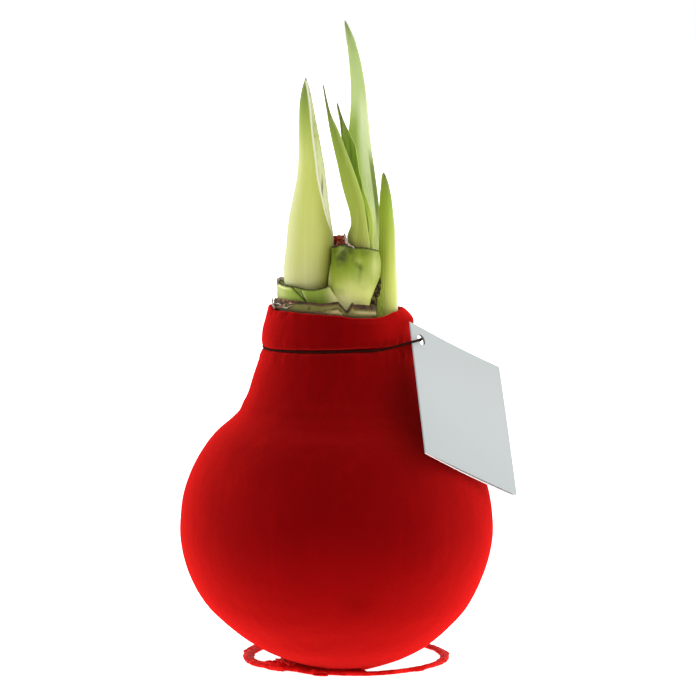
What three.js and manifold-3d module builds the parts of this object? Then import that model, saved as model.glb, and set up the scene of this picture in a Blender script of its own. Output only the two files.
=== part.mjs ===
// A forced amaryllis bulb dipped in velvety red wax, with its shoots, wire stand and swing tag.
// Millimetres, +Z up. The origin is on the flat spot that the bulb stands on, under its neck.
// +X is to the right of the tag side, +Y points away from the bud's front.
import * as THREE from 'three';
import Module from 'manifold-3d';
import { mergeVertices } from 'three/addons/utils/BufferGeometryUtils.js';

const wasm = await Module();
wasm.setup();

// ---------------------------------------------------------------- driving dimensions
const GAP = 0.3; // clearance where two pieces touch
const FOOT_RADIUS = 9.8; // flat spot under the wax
const FOOT_SHIFT = 3; // the foot sits this far to the right of the neck
const FOOT_SHIFT_HEIGHT = 35; // above this height the body is centred under the neck
const WAX_WALL = 1.8;
const RIM_HEIGHT = 121.4; // top edge of the wax round the neck
const RIM_RADIUS = 23.1;
const RIM_ROUND = 0.7;
const NECK_BORE = 21.2; // inside of the wax at the neck
const WELL_FLOOR = 113; // where leaves and bud leave the bulb's neck
const SHOOT_FOOT = WELL_FLOOR + GAP;
const SCALE_TOP = 123.3; // cut edge of the outermost bulb scale
const SCALE_WALL = 0.8;
const CORD_HEIGHT = 108.3;
const CORD_TILT = 0.7; // the cord is this much higher at the right
const CORD_RADIUS = 0.5;
const CORD_GAP = 0.4;
const GROOVE_RADIUS = 23; // neck pinched by the cord
const TURNED_SIDES = 44; // facets round the bulb and its wax
const WAX_STEPS = 19; // facets up the outside of the wax
const LINING_STEPS = 10; // facets up its inside and up the bulb
const STAND_CENTRE = new THREE.Vector2(3.3, 12.6);
const STAND_RADIUS = 33.3;
const STAND_FRONT_RADIUS = 31.4; // the ring is a little flat in front
const WIRE_RADIUS = 0.8;
const CARD_SIZE = 49;
const CARD_THICKNESS = 0.6;
const CARD_FOLD_GAP = 0.3;
const CARD_SPREAD = 0.6; // how much further the two leaves stand apart at the open side
const CARD_HOLE_INSET = 4.9;
const CARD_HOLE_RADIUS = 1.9;
const CARD_CORNER = new THREE.Vector3(24, -14.5, 117.3);
const CARD_TOP_EDGE = new THREE.Vector3(30.7, 33.5, -18.3);
const CARD_LEFT_EDGE = new THREE.Vector3(4.7, -26.4, -40.4);

// radius and height of the wax body from the flat spot up to the foot of the neck
const BODY_OUTLINE = [
  [FOOT_RADIUS, 0], [14.6, 1.5], [21.4, 4], [28.5, 8], [36.1, 14], [44, 22], [49.3, 32], [51.8, 42],
  [52, 50], [50.6, 60], [46.7, 70], [41.3, 78], [34.6, 84], [31.6, 87], [30.2, 90], [29, 94], [27.5, 99],
];

// ---------------------------------------------------------------- helpers
const lerp = THREE.MathUtils.lerp;
const degrees = THREE.MathUtils.degToRad;
const bump = (x, centre, width) => Math.exp(-(((x - centre) / width) ** 2));

function angleBetween(a, b) {
  const turn = 2 * Math.PI;
  return Math.abs(((((a - b) % turn) + turn + Math.PI) % turn) - Math.PI);
}

// a closed body from its corners and triangles, with shared corners merged and faces turned outwards
function closedBody(points, triangles) {
  const raw = new THREE.BufferGeometry();
  raw.setAttribute('position', new THREE.Float32BufferAttribute(points.flatMap((p) => [p.x, p.y, p.z]), 3));
  raw.setIndex(triangles.flat());
  const merged = mergeVertices(raw, 1e-4);
  const index = merged.getIndex().array;
  const corner = (i) => new THREE.Vector3().fromBufferAttribute(merged.getAttribute('position'), i);
  const kept = [];
  let volume = 0;
  for (let i = 0; i < index.length; i += 3) {
    const [a, b, c] = [index[i], index[i + 1], index[i + 2]];
    if (a === b || b === c || c === a) continue;
    kept.push([a, b, c]);
    volume += corner(a).dot(corner(b).cross(corner(c)));
  }
  merged.setIndex((volume < 0 ? kept.map(([a, b, c]) => [a, c, b]) : kept).flat());
  return merged;
}

// a skin through closed rings of equal count; the ends are capped, or joined when the skin loops
function loft(rings, loops = false) {
  const around = rings[0].length;
  const points = rings.flat();
  const triangles = [];
  const spans = loops ? rings.length : rings.length - 1;
  for (let i = 0; i < spans; i += 1) {
    const here = i * around;
    const next = ((i + 1) % rings.length) * around;
    for (let j = 0; j < around; j += 1) {
      const k = (j + 1) % around;
      triangles.push([here + j, here + k, next + k], [here + j, next + k, next + j]);
    }
  }
  if (!loops) {
    for (const [start, flip] of [[0, true], [(rings.length - 1) * around, false]]) {
      const middle = new THREE.Vector3();
      for (let j = 0; j < around; j += 1) middle.addScaledVector(points[start + j], 1 / around);
      const centre = points.push(middle) - 1;
      for (let j = 0; j < around; j += 1) {
        const k = (j + 1) % around;
        triangles.push(flip ? [centre, start + k, start + j] : [centre, start + j, start + k]);
      }
    }
  }
  return closedBody(points, triangles);
}

// a thin sheet with both faces split alike; place(u, v, side) gives a corner, side being 1 or -1
function blade(across, along, place) {
  const row = across + 1;
  const face = row * (along + 1);
  const points = [];
  for (const side of [1, -1]) {
    for (let i = 0; i <= along; i += 1) {
      for (let j = 0; j <= across; j += 1) points.push(place((2 * j) / across - 1, i / along, side));
    }
  }
  const triangles = [];
  for (let i = 0; i < along; i += 1) {
    for (let j = 0; j < across; j += 1) {
      const a = i * row + j;
      const [b, c, d] = [a + 1, a + row + 1, a + row];
      triangles.push([a, b, c], [a, c, d], [a + face, c + face, b + face], [a + face, d + face, c + face]);
    }
    for (const [j, flip] of [[0, false], [across, true]]) {
      const a = i * row + j;
      const quad = [a, a + row, a + row + face, a + face];
      if (flip) quad.reverse();
      triangles.push([quad[0], quad[1], quad[2]], [quad[0], quad[2], quad[3]]);
    }
  }
  for (const [i, flip] of [[0, true], [along, false]]) {
    for (let j = 0; j < across; j += 1) {
      const a = i * row + j;
      const quad = [a, a + 1, a + 1 + face, a + face];
      if (!flip) quad.reverse();
      triangles.push([quad[2], quad[1], quad[0]], [quad[3], quad[2], quad[0]]);
    }
  }
  return closedBody(points, triangles);
}

function toSolid(geometry) {
  return new wasm.Manifold(new wasm.Mesh({
    numProp: 3,
    vertProperties: new Float32Array(geometry.getAttribute('position').array),
    triVerts: new Uint32Array(geometry.getIndex().array),
  }));
}

function toGeometry(solid) {
  const mesh = solid.getMesh();
  const result = new THREE.BufferGeometry();
  result.setAttribute('position', new THREE.Float32BufferAttribute(mesh.vertProperties, 3));
  result.setIndex([...mesh.triVerts]);
  return result;
}

const cut = (geometry, tool) => toGeometry(toSolid(geometry).subtract(toSolid(tool)));

// a geometry with its corners shared, as a boolean needs it
const bare = (geometry) => mergeVertices(geometry.deleteAttribute('normal').deleteAttribute('uv'), 1e-4);

// a smooth curve through rows of numbers, read at any value of the first number of the rows
function stations(rows) {
  return (at) => {
    let i = 0;
    while (i < rows.length - 2 && at > rows[i + 1][0]) i += 1;
    const t = (at - rows[i][0]) / (rows[i + 1][0] - rows[i][0]);
    const slope = (k, n) => {
      const [a, b] = [rows[Math.max(k - 1, 0)], rows[Math.min(k + 1, rows.length - 1)]];
      return (b[n] - a[n]) / (b[0] - a[0]);
    };
    const step = rows[i + 1][0] - rows[i][0];
    return rows[i].slice(1).map((from, n) => {
      const to = rows[i + 1][n + 1];
      const [m0, m1] = [slope(i, n + 1) * step, slope(i + 1, n + 1) * step];
      const [t2, t3] = [t * t, t * t * t];
      return (2 * t3 - 3 * t2 + 1) * from + (t3 - 2 * t2 + t) * m0 + (3 * t2 - 2 * t3) * to + (t3 - t2) * m1;
    });
  };
}

// ---------------------------------------------------------------- bulb and wax
// how far the body's centre lies to the right at a height
function footShift(z) {
  const rise = Math.min(Math.max(z, 0) / FOOT_SHIFT_HEIGHT, 1);
  return FOOT_SHIFT * (1 - rise) ** 2;
}

// height that the wax rim rises or dips at a direction round the neck
function rimWave(angle) {
  const dip = -2.4 * bump(angleBetween(angle, degrees(-62)), 0, degrees(30));
  const lip = 0.7 * bump(angleBetween(angle, degrees(-14)), 0, degrees(16));
  return dip + lip;
}

// height that the cut edge of the outer scale rises or dips: a V-notch in front, low behind the side leaf
function scaleWave(angle) {
  const notch = -2.6 * Math.max(0, 1 - angleBetween(angle, degrees(-84)) / degrees(9));
  const front = 0.9 * bump(angleBetween(angle, degrees(-100)), 0, degrees(12));
  const inside = degrees(34) - angleBetween(angle, degrees(-18));
  const right = -7 * THREE.MathUtils.smoothstep(inside, 0, degrees(8));
  return notch + front + right;
}

// rings of a turned body from rows of radius and height, with shares of the rim's wave and the cord's tilt
function turned(rows, around, wave) {
  return rows.map(([radius, height, waveShare = 0, tiltShare = 0]) =>
    Array.from({ length: around }, (_, j) => {
      const angle = (2 * Math.PI * j) / around;
      const z = height + waveShare * wave(angle) + tiltShare * CORD_TILT * Math.cos(angle);
      return new THREE.Vector3(radius * Math.cos(angle) + footShift(height), radius * Math.sin(angle), z);
    }));
}

// the body outline moved inwards by a depth, as rows of radius and height
function insetBody(depth, steps) {
  const curve = new THREE.SplineCurve(BODY_OUTLINE.map(([r, z]) => new THREE.Vector2(r, z)));
  return Array.from({ length: steps + 1 }, (_, i) => {
    const point = curve.getPoint(i / steps);
    const along = curve.getTangent(i / steps);
    return [point.x - along.y * depth, point.y + along.x * depth];
  });
}

function waxCoat(prongHole) {
  const outside = [
    [0, 0], ...insetBody(0, WAX_STEPS).map(([r, z]) => [r, Math.max(z, 0)]),
    [26, 104], [25.3, 106.4, 0, 1], [23.5, 107.5, 0, 1], [GROOVE_RADIUS, CORD_HEIGHT, 0, 1],
    [23.2, 109.2, 0, 1], [24.7, 111, 0, 1], [24.9, 113.2], [24, 117.4, 0.3],
    [RIM_RADIUS, RIM_HEIGHT - RIM_ROUND, 1], [RIM_RADIUS - RIM_ROUND, RIM_HEIGHT, 1],
  ];
  const inside = [
    [NECK_BORE + 0.3, RIM_HEIGHT - RIM_ROUND, 1], [NECK_BORE, 115], [NECK_BORE, 109], [23.4, 104],
    ...insetBody(WAX_WALL, LINING_STEPS).reverse(), [0, WAX_WALL],
  ];
  return cut(loft(turned([...outside, ...inside], TURNED_SIDES, rimWave)), prongHole);
}

// the living bulb: its body fills the wax, and its outermost scale is cut off just above the rim
function bulb(prongHole) {
  const neck = NECK_BORE - GAP;
  const bore = neck - SCALE_WALL;
  const body = insetBody(WAX_WALL + GAP, LINING_STEPS);
  const rows = [
    [0, WAX_WALL + GAP], ...body.map(([r, z]) => [r, Math.max(z, WAX_WALL + GAP)]),
    [23.4 - GAP, 104], [neck, 109], [neck, 115], [neck - 0.1, SCALE_TOP - 0.4, 1],
    [neck - 0.4, SCALE_TOP, 1],
    [bore, SCALE_TOP - 0.4, 1], [bore, 115], [bore, WELL_FLOOR], [0, WELL_FLOOR],
  ];
  const shell = toSolid(cut(loft(turned(rows, TURNED_SIDES, scaleWave)), prongHole));
  return toGeometry(shell.add(toSolid(neckScales()).subtract(toSolid(neckRoom()))));
}

// the cut ends of the inner scales behind the shoots, as rings round the neck
function neckScales() {
  const outer = NECK_BORE - GAP - SCALE_WALL / 2;
  const rows = [
    [0, WELL_FLOOR - 1], [outer, WELL_FLOOR - 1], [outer, 119], [19.2, 118.6], [18.6, 120.6], [17.8, 120.7],
    [17.1, 118.4], [15.6, 118.2], [15, 119.9], [14.2, 120], [13.5, 117.6], [11.8, 117.4], [11.2, 119],
    [10.4, 119], [9.6, 116.8], [0, 116.6],
  ];
  return loft(turned(rows, 36, scaleWave));
}

// the part of the neck that the shoots and their leaf bases take up
function neckRoom() {
  const outline = new THREE.SplineCurve([
    [-22, 1], [-19.6, 3.2], [-16, 5.3], [-11, 6.2], [-5.8, 5.2], [-3, 1.4], [0, 0.4], [3.4, 1.6], [5, 5.6],
    [9, 8], [13.6, 6.8], [15.6, 3], [18.6, 0.6], [22, 0.4], [22, -22], [-22, -22],
  ].map(([x, y]) => new THREE.Vector2(x, y)));
  const floor = new THREE.Shape(outline.getPoints(48));
  const room = new THREE.ExtrudeGeometry(floor, { depth: 12, bevelEnabled: false });
  return bare(room.translate(0, 0, WELL_FLOOR));
}

// ---------------------------------------------------------------- bud, leaves and cut leaf bases
// a leaf from rows of height, left edge x and y, right edge x and y; a positive bow hollows its front
function leaf(rows, bow, thickness, along, across = 6) {
  const at = stations(rows);
  const [bottom, top] = [rows[0][0], rows[rows.length - 1][0]];
  return blade(across, along, (u, v, side) => {
    const z = lerp(bottom, top, v);
    const [xl, yl, xr, yr] = at(z);
    const width = Math.hypot(xr - xl, yr - yl);
    const normal = new THREE.Vector2(yr - yl, xl - xr).divideScalar(width);
    const body = 1 - u * u;
    const half = Math.min(0.5 * (0.7 + (thickness - 0.7) * body), 0.3 + 0.28 * width);
    const off = -bow * width * body + side * half;
    const s = 0.5 + 0.5 * u;
    return new THREE.Vector3(lerp(xl, xr, s) + normal.x * off, lerp(yl, yr, s) + normal.y * off, z);
  });
}

function leafTall() {
  return leaf([
    [SHOOT_FOOT, 5.9, 3.2, 12.2, 3.2], [125, 5.8, 3.4, 13.4, 3.2], [140, 6, 4, 14.5, 3.2],
    [148, 5.7, 4.2, 14.7, 3.2], [156, 4.9, 4.4, 14, 3.4], [164, 3.9, 4.6, 13, 3.6],
    [175, 3.6, 4.6, 11.5, 3.8], [184, 4.4, 4.4, 10.6, 3.9], [193, 4.7, 4.2, 9.7, 4],
    [201, 4.2, 4, 8.4, 4], [207, 3.7, 4, 6.9, 4], [211.5, 3.1, 4, 5.2, 4], [215.3, 2.8, 4, 3.5, 4],
  ], 0.16, 1.8, 22);
}

function leafFront() {
  return leaf([
    [SHOOT_FOOT, 3, -10.5, 8.6, -10.5], [125, 2.4, -11.5, 9.8, -11.5], [135, 2.6, -12.2, 11.2, -12],
    [142.3, 3.4, -12, 11, -11.6], [150, 4.3, -11.4, 10, -11], [157, 3.1, -11, 8.9, -10.6],
    [162, 1.8, -10.8, 7.4, -10.3], [168, 0.5, -10.4, 5.3, -10], [173.6, -0.8, -10, 3.1, -9.6],
    [179.5, -2.1, -9.4, 0.9, -9], [185.4, -3.1, -8.8, -1.8, -8.5], [189.3, -3.7, -8.4, -3, -8.2],
    [194.2, -4.5, -8, -4.1, -7.9],
  ], -0.12, 1.6, 20);
}

function leafInner() {
  return leaf([
    [SHOOT_FOOT, 3.4, -8.4, 9, -8.2], [125, 3, -8.7, 10.4, -8.3], [135, 3.4, -8.8, 11.9, -8.3],
    [143, 4.6, -8.6, 12, -7.9], [148, 4.8, -8.4, 12.3, -7.2], [152.5, 4.4, -8, 11.6, -6.6],
    [157, 3.8, -7.6, 10.1, -6.2], [161, 3.1, -7.2, 8.8, -5.8], [166, 2.7, -7, 7.7, -5.6],
    [171, 2.3, -6.8, 7, -5.4], [175, 1.9, -6.4, 6.2, -5.2], [179.5, 1.4, -6, 4.1, -5],
    [184, 0.9, -5.6, 2, -4.9], [188.6, 0, -5.2, 0.5, -5],
  ], 0.15, 1.3, 20);
}

function leafSide() {
  return leaf([
    [SHOOT_FOOT, 14.4, -7, 18.2, -2.6], [121, 14.8, -7, 19.3, -2.2], [138, 14.8, -6.8, 19.3, -2.2],
    [147, 14.4, -6.8, 18.8, -2.2], [153, 14.2, -6.6, 18.2, -2.4], [158, 14.3, -6.2, 17.5, -2.9],
    [162, 14.8, -5.4, 16.7, -3.5], [165, 15.4, -4.7, 15.9, -4.3],
  ], -0.2, 2.6, 16);
}

// the crumpled dry tip of a spent leaf, pinched between bud and leaf base
function driedTip() {
  return leaf([
    [SHOOT_FOOT, -0.8, -1.4, 1.2, -2.7], [128, -0.8, -1.2, 1.4, -2.7], [136, -0.9, -1, 1.8, -2.8],
    [139, -1.2, -2.4, 2.2, -2], [141, -1, -1.4, 2.6, -3], [143, -1.2, -2.6, 2.2, -1.8],
    [144.8, -0.8, -1.8, 1.6, -2.6],
  ], 0.15, 1.5, 14, 4);
}

// the flower bud: two valves meet along a seam that runs down its front right and its back left
function flowerBud() {
  const rows = [
    [SHOOT_FOOT, -15.4, -5.4, 4.6], [120, -16.4, -4, 5.4], [127.5, -17.1, -3.1, 6],
    [133, -17.5, -2.6, 6.2], [139, -17.1, -1.9, 6.1], [145, -16.6, -1.1, 5.9], [151.4, -15.7, -1.9, 5.4],
    [157.4, -14.4, -2.9, 4.8], [163.4, -13.3, -3.8, 4.1], [170, -12.5, -4.7, 3.5],
    [180, -12.4, -6.6, 2.6], [188, -12.3, -8, 1.9], [193, -11.7, -9.1, 1.2], [196.5, -10.7, -10.1, 0.3],
  ];
  const at = stations(rows);
  const [bottom, top, along, around, middleY] = [rows[0][0], rows[rows.length - 1][0], 24, 20, -6];
  return loft(Array.from({ length: along + 1 }, (_, i) => {
    const z = lerp(bottom, top, i / along);
    const [left, right, depth] = at(z);
    const seam = degrees(lerp(-22, -58, THREE.MathUtils.smoothstep(z, 145, 190)));
    return Array.from({ length: around }, (_, j) => {
      const angle = seam + (2 * Math.PI * j) / around;
      const fromSeam = Math.min(angleBetween(angle, seam), angleBetween(angle, seam + Math.PI));
      const crease = bump(fromSeam, 0, 0.16);
      const reach = 1 - 0.1 * crease * THREE.MathUtils.smoothstep(z, 130, 150);
      const x = (left + right) / 2 + ((right - left) / 2) * reach * Math.cos(angle);
      return new THREE.Vector3(x, middleY + depth * reach * Math.sin(angle), z);
    });
  }));
}

// the tall cut leaf base that holds the front leaves: a bulging tube, narrow where it enters the neck
function leafSheath() {
  const rows = [
    [SHOOT_FOOT, 1, 10.8, 5], [118, 0.6, 11.2, 5.5], [123.5, 0, 11.8, 6.1], [128.5, -2.2, 13.2, 6.8],
    [135, -2, 14.5, 7], [139, -1.5, 14.2, 6.7], [142, -1, 13.7, 6.3],
  ];
  const at = stations(rows);
  const [wall, along, around, middleY] = [0.9, 9, 28, -9.4];
  const ring = (v, inset) => {
    const z = lerp(rows[0][0], rows[rows.length - 1][0], v);
    const [left, right, depth] = at(z);
    return Array.from({ length: around }, (_, j) => {
      const angle = (2 * Math.PI * j) / around;
      const dip = v * v * v * 1.6 * bump(angleBetween(angle, degrees(-10)), 0, degrees(40));
      const x = (left + right) / 2 + ((right - left) / 2 - inset) * Math.cos(angle);
      return new THREE.Vector3(x, middleY + (depth - inset) * Math.sin(angle), z - dip);
    });
  };
  const outside = Array.from({ length: along + 1 }, (_, i) => ring(i / along, 0));
  const inside = Array.from({ length: along + 1 }, (_, i) => ring(1 - i / along, wall));
  return loft([...outside, ...inside], true);
}

// the low cut leaf base that hugs the bud: an open band, pressed flat where it meets the outer scale
function budCollar() {
  const [wall, reachLimit] = [0.9, NECK_BORE - GAP - SCALE_WALL - GAP];
  const route = new THREE.CatmullRomCurve3([
    [1, -16.4], [-3.4, -15.6], [-7.8, -15.5], [-12.6, -14.2], [-17, -10.6], [-19.3, -5], [-19.6, 0],
    [-16.2, 3.4], [-11, 4.4], [-6.5, 3.4],
  ].map(([x, y]) => new THREE.Vector3(x, y, 0)));
  const edge = stations([
    [0, 125.6], [0.08, 128.4], [0.2, 128.2], [0.35, 128.9], [0.55, 130.2], [0.66, 130.5], [0.85, 129.4],
    [1, 128],
  ]);
  return blade(20, 6, (u, v, side) => {
    const t = 0.5 + 0.5 * u;
    const [top] = edge(t);
    const z = lerp(WELL_FLOOR + GAP, top, v);
    const point = route.getPoint(t);
    const along = route.getTangent(t);
    const reach = point.length();
    const inWell = THREE.MathUtils.smoothstep(125.5 - z, 0, 2);
    const pressed = point.multiplyScalar(lerp(1, Math.min(1, reachLimit / reach), inWell));
    const inset = side > 0 ? 0 : wall;
    return new THREE.Vector3(pressed.x + along.y * inset, pressed.y - along.x * inset, z);
  });
}

// ---------------------------------------------------------------- wire stand
// route of the wire: out of the bulb's underside, once round under it, then the wide ring on the ground
function standRoute() {
  const ground = WIRE_RADIUS;
  const start = [
    [5.5, 12, 14], [5.3, 12.8, 9], [4.3, 14.8, 4.4], [1.2, 18.2, 1.6], [-4.5, 20.6, ground],
    [-11.5, 18.8, ground], [-17.2, 12.5, ground], [-18.2, 4, ground], [-15.5, -4.8, ground],
    [-10.3, -11.8, ground], [-4.4, -16.1, ground], [2, -18.1, ground], [9, -18.5, ground],
    [16, -16.8, ground],
  ].map(([x, y, z]) => new THREE.Vector3(x, y, z));
  const [ringStart, ringEnd, ringStep] = [-52, 248, 15];
  const ring = [];
  for (let angle = ringStart; angle <= ringEnd; angle += ringStep) {
    const [right, back] = [Math.cos(degrees(angle)), Math.sin(degrees(angle))];
    const depth = back < 0 ? STAND_FRONT_RADIUS : STAND_RADIUS;
    const [x, y] = [STAND_CENTRE.x + STAND_RADIUS * right, STAND_CENTRE.y + depth * back];
    ring.push(new THREE.Vector3(x, y, ground));
  }
  return new THREE.CatmullRomCurve3([...start, ...ring]);
}

// an oval rod along a curve; size(t) gives its half width and half height, and a flat one rests on the ground
function rod(curve, steps, around, size) {
  const rings = Array.from({ length: steps + 1 }, (_, i) => {
    const t = i / steps;
    const centre = curve.getPoint(t);
    const along = curve.getTangent(t);
    const level = new THREE.Vector3(-along.y, along.x, 0).normalize();
    const upright = new THREE.Vector3().crossVectors(along, level).normalize();
    const [halfWidth, halfHeight] = size(t);
    return Array.from({ length: around }, (_, j) => {
      const angle = (2 * Math.PI * (j + 0.5)) / around;
      return centre.clone()
        .addScaledVector(level, halfWidth * Math.cos(angle))
        .addScaledVector(upright, halfHeight * Math.sin(angle));
    });
  });
  return loft(rings);
}

// wax makes the ring wider than the bare wire, and widest where its end lies beside the inner turn
function wireStand(route) {
  const [ringWax, endWax] = [0.35, 0.5];
  return rod(route, 84, 8, (t) => {
    const onRing = THREE.MathUtils.smoothstep(t, 0.36, 0.5);
    const nearEnd = bump(t, 0.88, 0.07);
    return [WIRE_RADIUS + ringWax * onRing + endWax * nearEnd, WIRE_RADIUS];
  });
}

// the hole that the upright end of the wire stands in, as a tool to cut with
function prongHole(route) {
  const end = 0.16; // share of the route that runs inside or close under the wax
  const part = { getPoint: (t) => route.getPoint(t * end), getTangent: (t) => route.getTangent(t * end) };
  const hole = WIRE_RADIUS + 2 * GAP;
  const deeper = route.getTangent(0).multiplyScalar(-GAP);
  const shape = rod(part, 14, 8, () => [hole, hole]);
  shape.translate(deeper.x, deeper.y, deeper.z);
  return shape;
}

// ---------------------------------------------------------------- swing tag and its elastic cord
const across = CARD_TOP_EDGE.clone().normalize();
const front = new THREE.Vector3().crossVectors(CARD_LEFT_EDGE, across).normalize();
const down = new THREE.Vector3().crossVectors(across, front);

// a point of the tag: to the right along its top, down its fold, and out of its front face
function onTag(right, below, proud) {
  const point = CARD_CORNER.clone().addScaledVector(across, right).addScaledVector(down, below);
  return point.addScaledVector(front, proud);
}

// a folded card: its section is a V with a square fold, and one hole goes through both leaves
function tag() {
  const fold = 2 * CARD_THICKNESS + CARD_FOLD_GAP;
  const corner = fold / 4;
  const inner = CARD_THICKNESS + CARD_FOLD_GAP / 2;
  const section = new THREE.Shape([
    [corner, 0], [CARD_SIZE, 0], [CARD_SIZE, -CARD_THICKNESS], [inner, -CARD_THICKNESS],
    [inner, -CARD_THICKNESS - CARD_FOLD_GAP], [CARD_SIZE, CARD_THICKNESS - fold - CARD_SPREAD],
    [CARD_SIZE, -fold - CARD_SPREAD], [corner, -fold], [0, corner - fold], [0, -corner],
  ].map(([x, y]) => new THREE.Vector2(x, y)));
  const card = new THREE.ExtrudeGeometry(section, { depth: CARD_SIZE, bevelEnabled: false });
  const punch = new THREE.CylinderGeometry(CARD_HOLE_RADIUS, CARD_HOLE_RADIUS, 8, 16);
  punch.translate(CARD_HOLE_INSET, 0, CARD_HOLE_INSET);
  const punched = cut(bare(card), bare(punch));
  // the section's x runs along the top edge, its y out of the front face and its z down the fold
  return punched.applyMatrix4(new THREE.Matrix4().makeBasis(across, front, down).setPosition(CARD_CORNER));
}

// the loop lies in the neck's groove from the right round the back to the front, then runs through the tag
function tagCord() {
  const reach = GROOVE_RADIUS + CORD_GAP + CORD_RADIUS;
  const points = [];
  const [loopStart, loopEnd, loopStep] = [9, 284, 12.5];
  for (let angle = loopStart; angle <= loopEnd; angle += loopStep) {
    const z = CORD_HEIGHT + CORD_TILT * Math.cos(degrees(angle));
    points.push(new THREE.Vector3(reach * Math.cos(degrees(angle)), reach * Math.sin(degrees(angle)), z));
  }
  const proud = CORD_RADIUS + GAP;
  const behind = -(2 * CARD_THICKNESS + CARD_FOLD_GAP + proud);
  const hole = CARD_HOLE_INSET;
  points.push(
    new THREE.Vector3(14.2, -21.2, 109.6),
    onTag(-1.3, hole + 2.3, 0),
    onTag(0.6, hole + 2, proud + 0.4),
    onTag(hole - 1.2, hole + 0.4, proud + 0.2),
    onTag(hole, hole, CARD_THICKNESS * -1.2),
    onTag(hole + 0.9, hole - 0.3, behind - 0.3),
    new THREE.Vector3(25, -5.5, 109.4),
  );
  const route = new THREE.CatmullRomCurve3(points, true, 'centripetal');
  const [steps, around] = [76, 8];
  const rings = Array.from({ length: steps }, (_, i) => {
    const centre = route.getPointAt(i / steps);
    const along = route.getTangentAt(i / steps);
    const side = new THREE.Vector3(0, 0, 1).cross(along).normalize();
    const above = new THREE.Vector3().crossVectors(along, side);
    return Array.from({ length: around }, (_, j) => {
      const angle = (2 * Math.PI * j) / around;
      return centre.clone()
        .addScaledVector(side, CORD_RADIUS * Math.cos(angle))
        .addScaledVector(above, CORD_RADIUS * Math.sin(angle));
    });
  });
  return loft(rings, true);
}

// ---------------------------------------------------------------- assembly
function paint(color, roughness, metalness = 0) {
  return new THREE.MeshStandardMaterial({ color, roughness, metalness });
}

const velvetWax = paint(0xa80a0c, 0.9);
const scaleGreen = paint(0xa9ae6e, 0.6);
const leafGreen = paint(0x9dbb52, 0.5);
const budGreen = paint(0xc6cf86, 0.5);
const dryBrown = paint(0x8a3a24, 0.8);
const waxedWire = paint(0xb0101a, 0.45);
const blackElastic = paint(0x101010, 0.8);
const silverCard = paint(0xa4a7ab, 0.5);

const group = new THREE.Group();

function add(name, geometry, material) {
  const mesh = new THREE.Mesh(geometry, material);
  mesh.name = name;
  group.add(mesh);
}

const wireRoute = standRoute();
const hole = prongHole(wireRoute);
add('bulb', bulb(hole), scaleGreen);
add('wax_coat', waxCoat(hole), velvetWax);
add('bud_collar', budCollar(), scaleGreen);
add('leaf_sheath', leafSheath(), scaleGreen);
add('dried_tip', driedTip(), dryBrown);
add('flower_bud', flowerBud(), budGreen);
add('leaf_tall', leafTall(), leafGreen);
add('leaf_front', leafFront(), leafGreen);
add('leaf_inner', leafInner(), leafGreen);
add('leaf_side', leafSide(), leafGreen);
add('wire_stand', wireStand(wireRoute), waxedWire);
add('tag_cord', tagCord(), blackElastic);
add('tag', tag(), silverCard);

export default group;
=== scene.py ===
"""A forced amaryllis bulb dipped in velvety red wax, with its shoots, wire stand and swing tag.

Outlines and routes are in millimetres until a mesh is made, in the part's own frame: +Z up, +X to the side
that the tag hangs on, +Y away from the front. They repeat those of the part's solids at a finer step.
"""
import math

import bpy
import numpy as np
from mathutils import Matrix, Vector


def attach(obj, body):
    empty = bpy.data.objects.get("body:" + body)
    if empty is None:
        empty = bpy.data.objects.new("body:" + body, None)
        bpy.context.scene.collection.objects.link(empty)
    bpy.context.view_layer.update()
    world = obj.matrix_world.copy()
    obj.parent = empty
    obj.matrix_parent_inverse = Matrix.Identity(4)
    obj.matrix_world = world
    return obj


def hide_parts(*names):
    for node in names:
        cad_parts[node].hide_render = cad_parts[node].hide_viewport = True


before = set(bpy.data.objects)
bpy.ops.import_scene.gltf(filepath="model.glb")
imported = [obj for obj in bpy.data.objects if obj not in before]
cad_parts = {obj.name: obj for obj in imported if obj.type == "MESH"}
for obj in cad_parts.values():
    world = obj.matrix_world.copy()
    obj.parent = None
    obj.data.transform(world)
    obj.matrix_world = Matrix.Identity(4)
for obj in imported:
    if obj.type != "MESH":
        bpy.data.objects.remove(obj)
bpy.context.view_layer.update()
MM = 0.001
TOUCH = 1e-6

# ---- driving dimensions, as in the solids
GAP = 0.3
FOOT_SHIFT = 3.0
FOOT_SHIFT_HEIGHT = 35.0
WAX_WALL = 1.8
RIM_HEIGHT = 121.4
RIM_RADIUS = 23.1
RIM_ROUND = 0.7
NECK_BORE = 21.2
NECK = NECK_BORE - GAP
WELL_FLOOR = 113.0
SHOOT_FOOT = WELL_FLOOR + GAP
SCALE_TOP = 123.3
SCALE_WALL = 0.8
CORD_HEIGHT = 108.3
CORD_TILT = 0.7
CORD_RADIUS = 0.5
CORD_SPUN = 0.4
CORD_GAP = 0.4
GROOVE_RADIUS = 23.0
STAND_CENTRE = (3.3, 12.6)
STAND_RADIUS = 33.3
STAND_FRONT_RADIUS = 31.4
STAND_BACK_RADIUS = 36.5
WIRE_RADIUS = 0.8
CARD_SIZE = 49.0
CARD_THICKNESS = 0.6
CARD_FOLD_GAP = 0.3
CARD_HOLE_INSET = 4.9
CARD_HOLE_RADIUS = 1.9
CARD_CORNER = np.array((24.0, -14.5, 117.3))
CARD_TOP_EDGE = np.array((30.7, 33.5, -18.3))
CARD_LEFT_EDGE = np.array((4.7, -26.4, -40.4))

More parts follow.
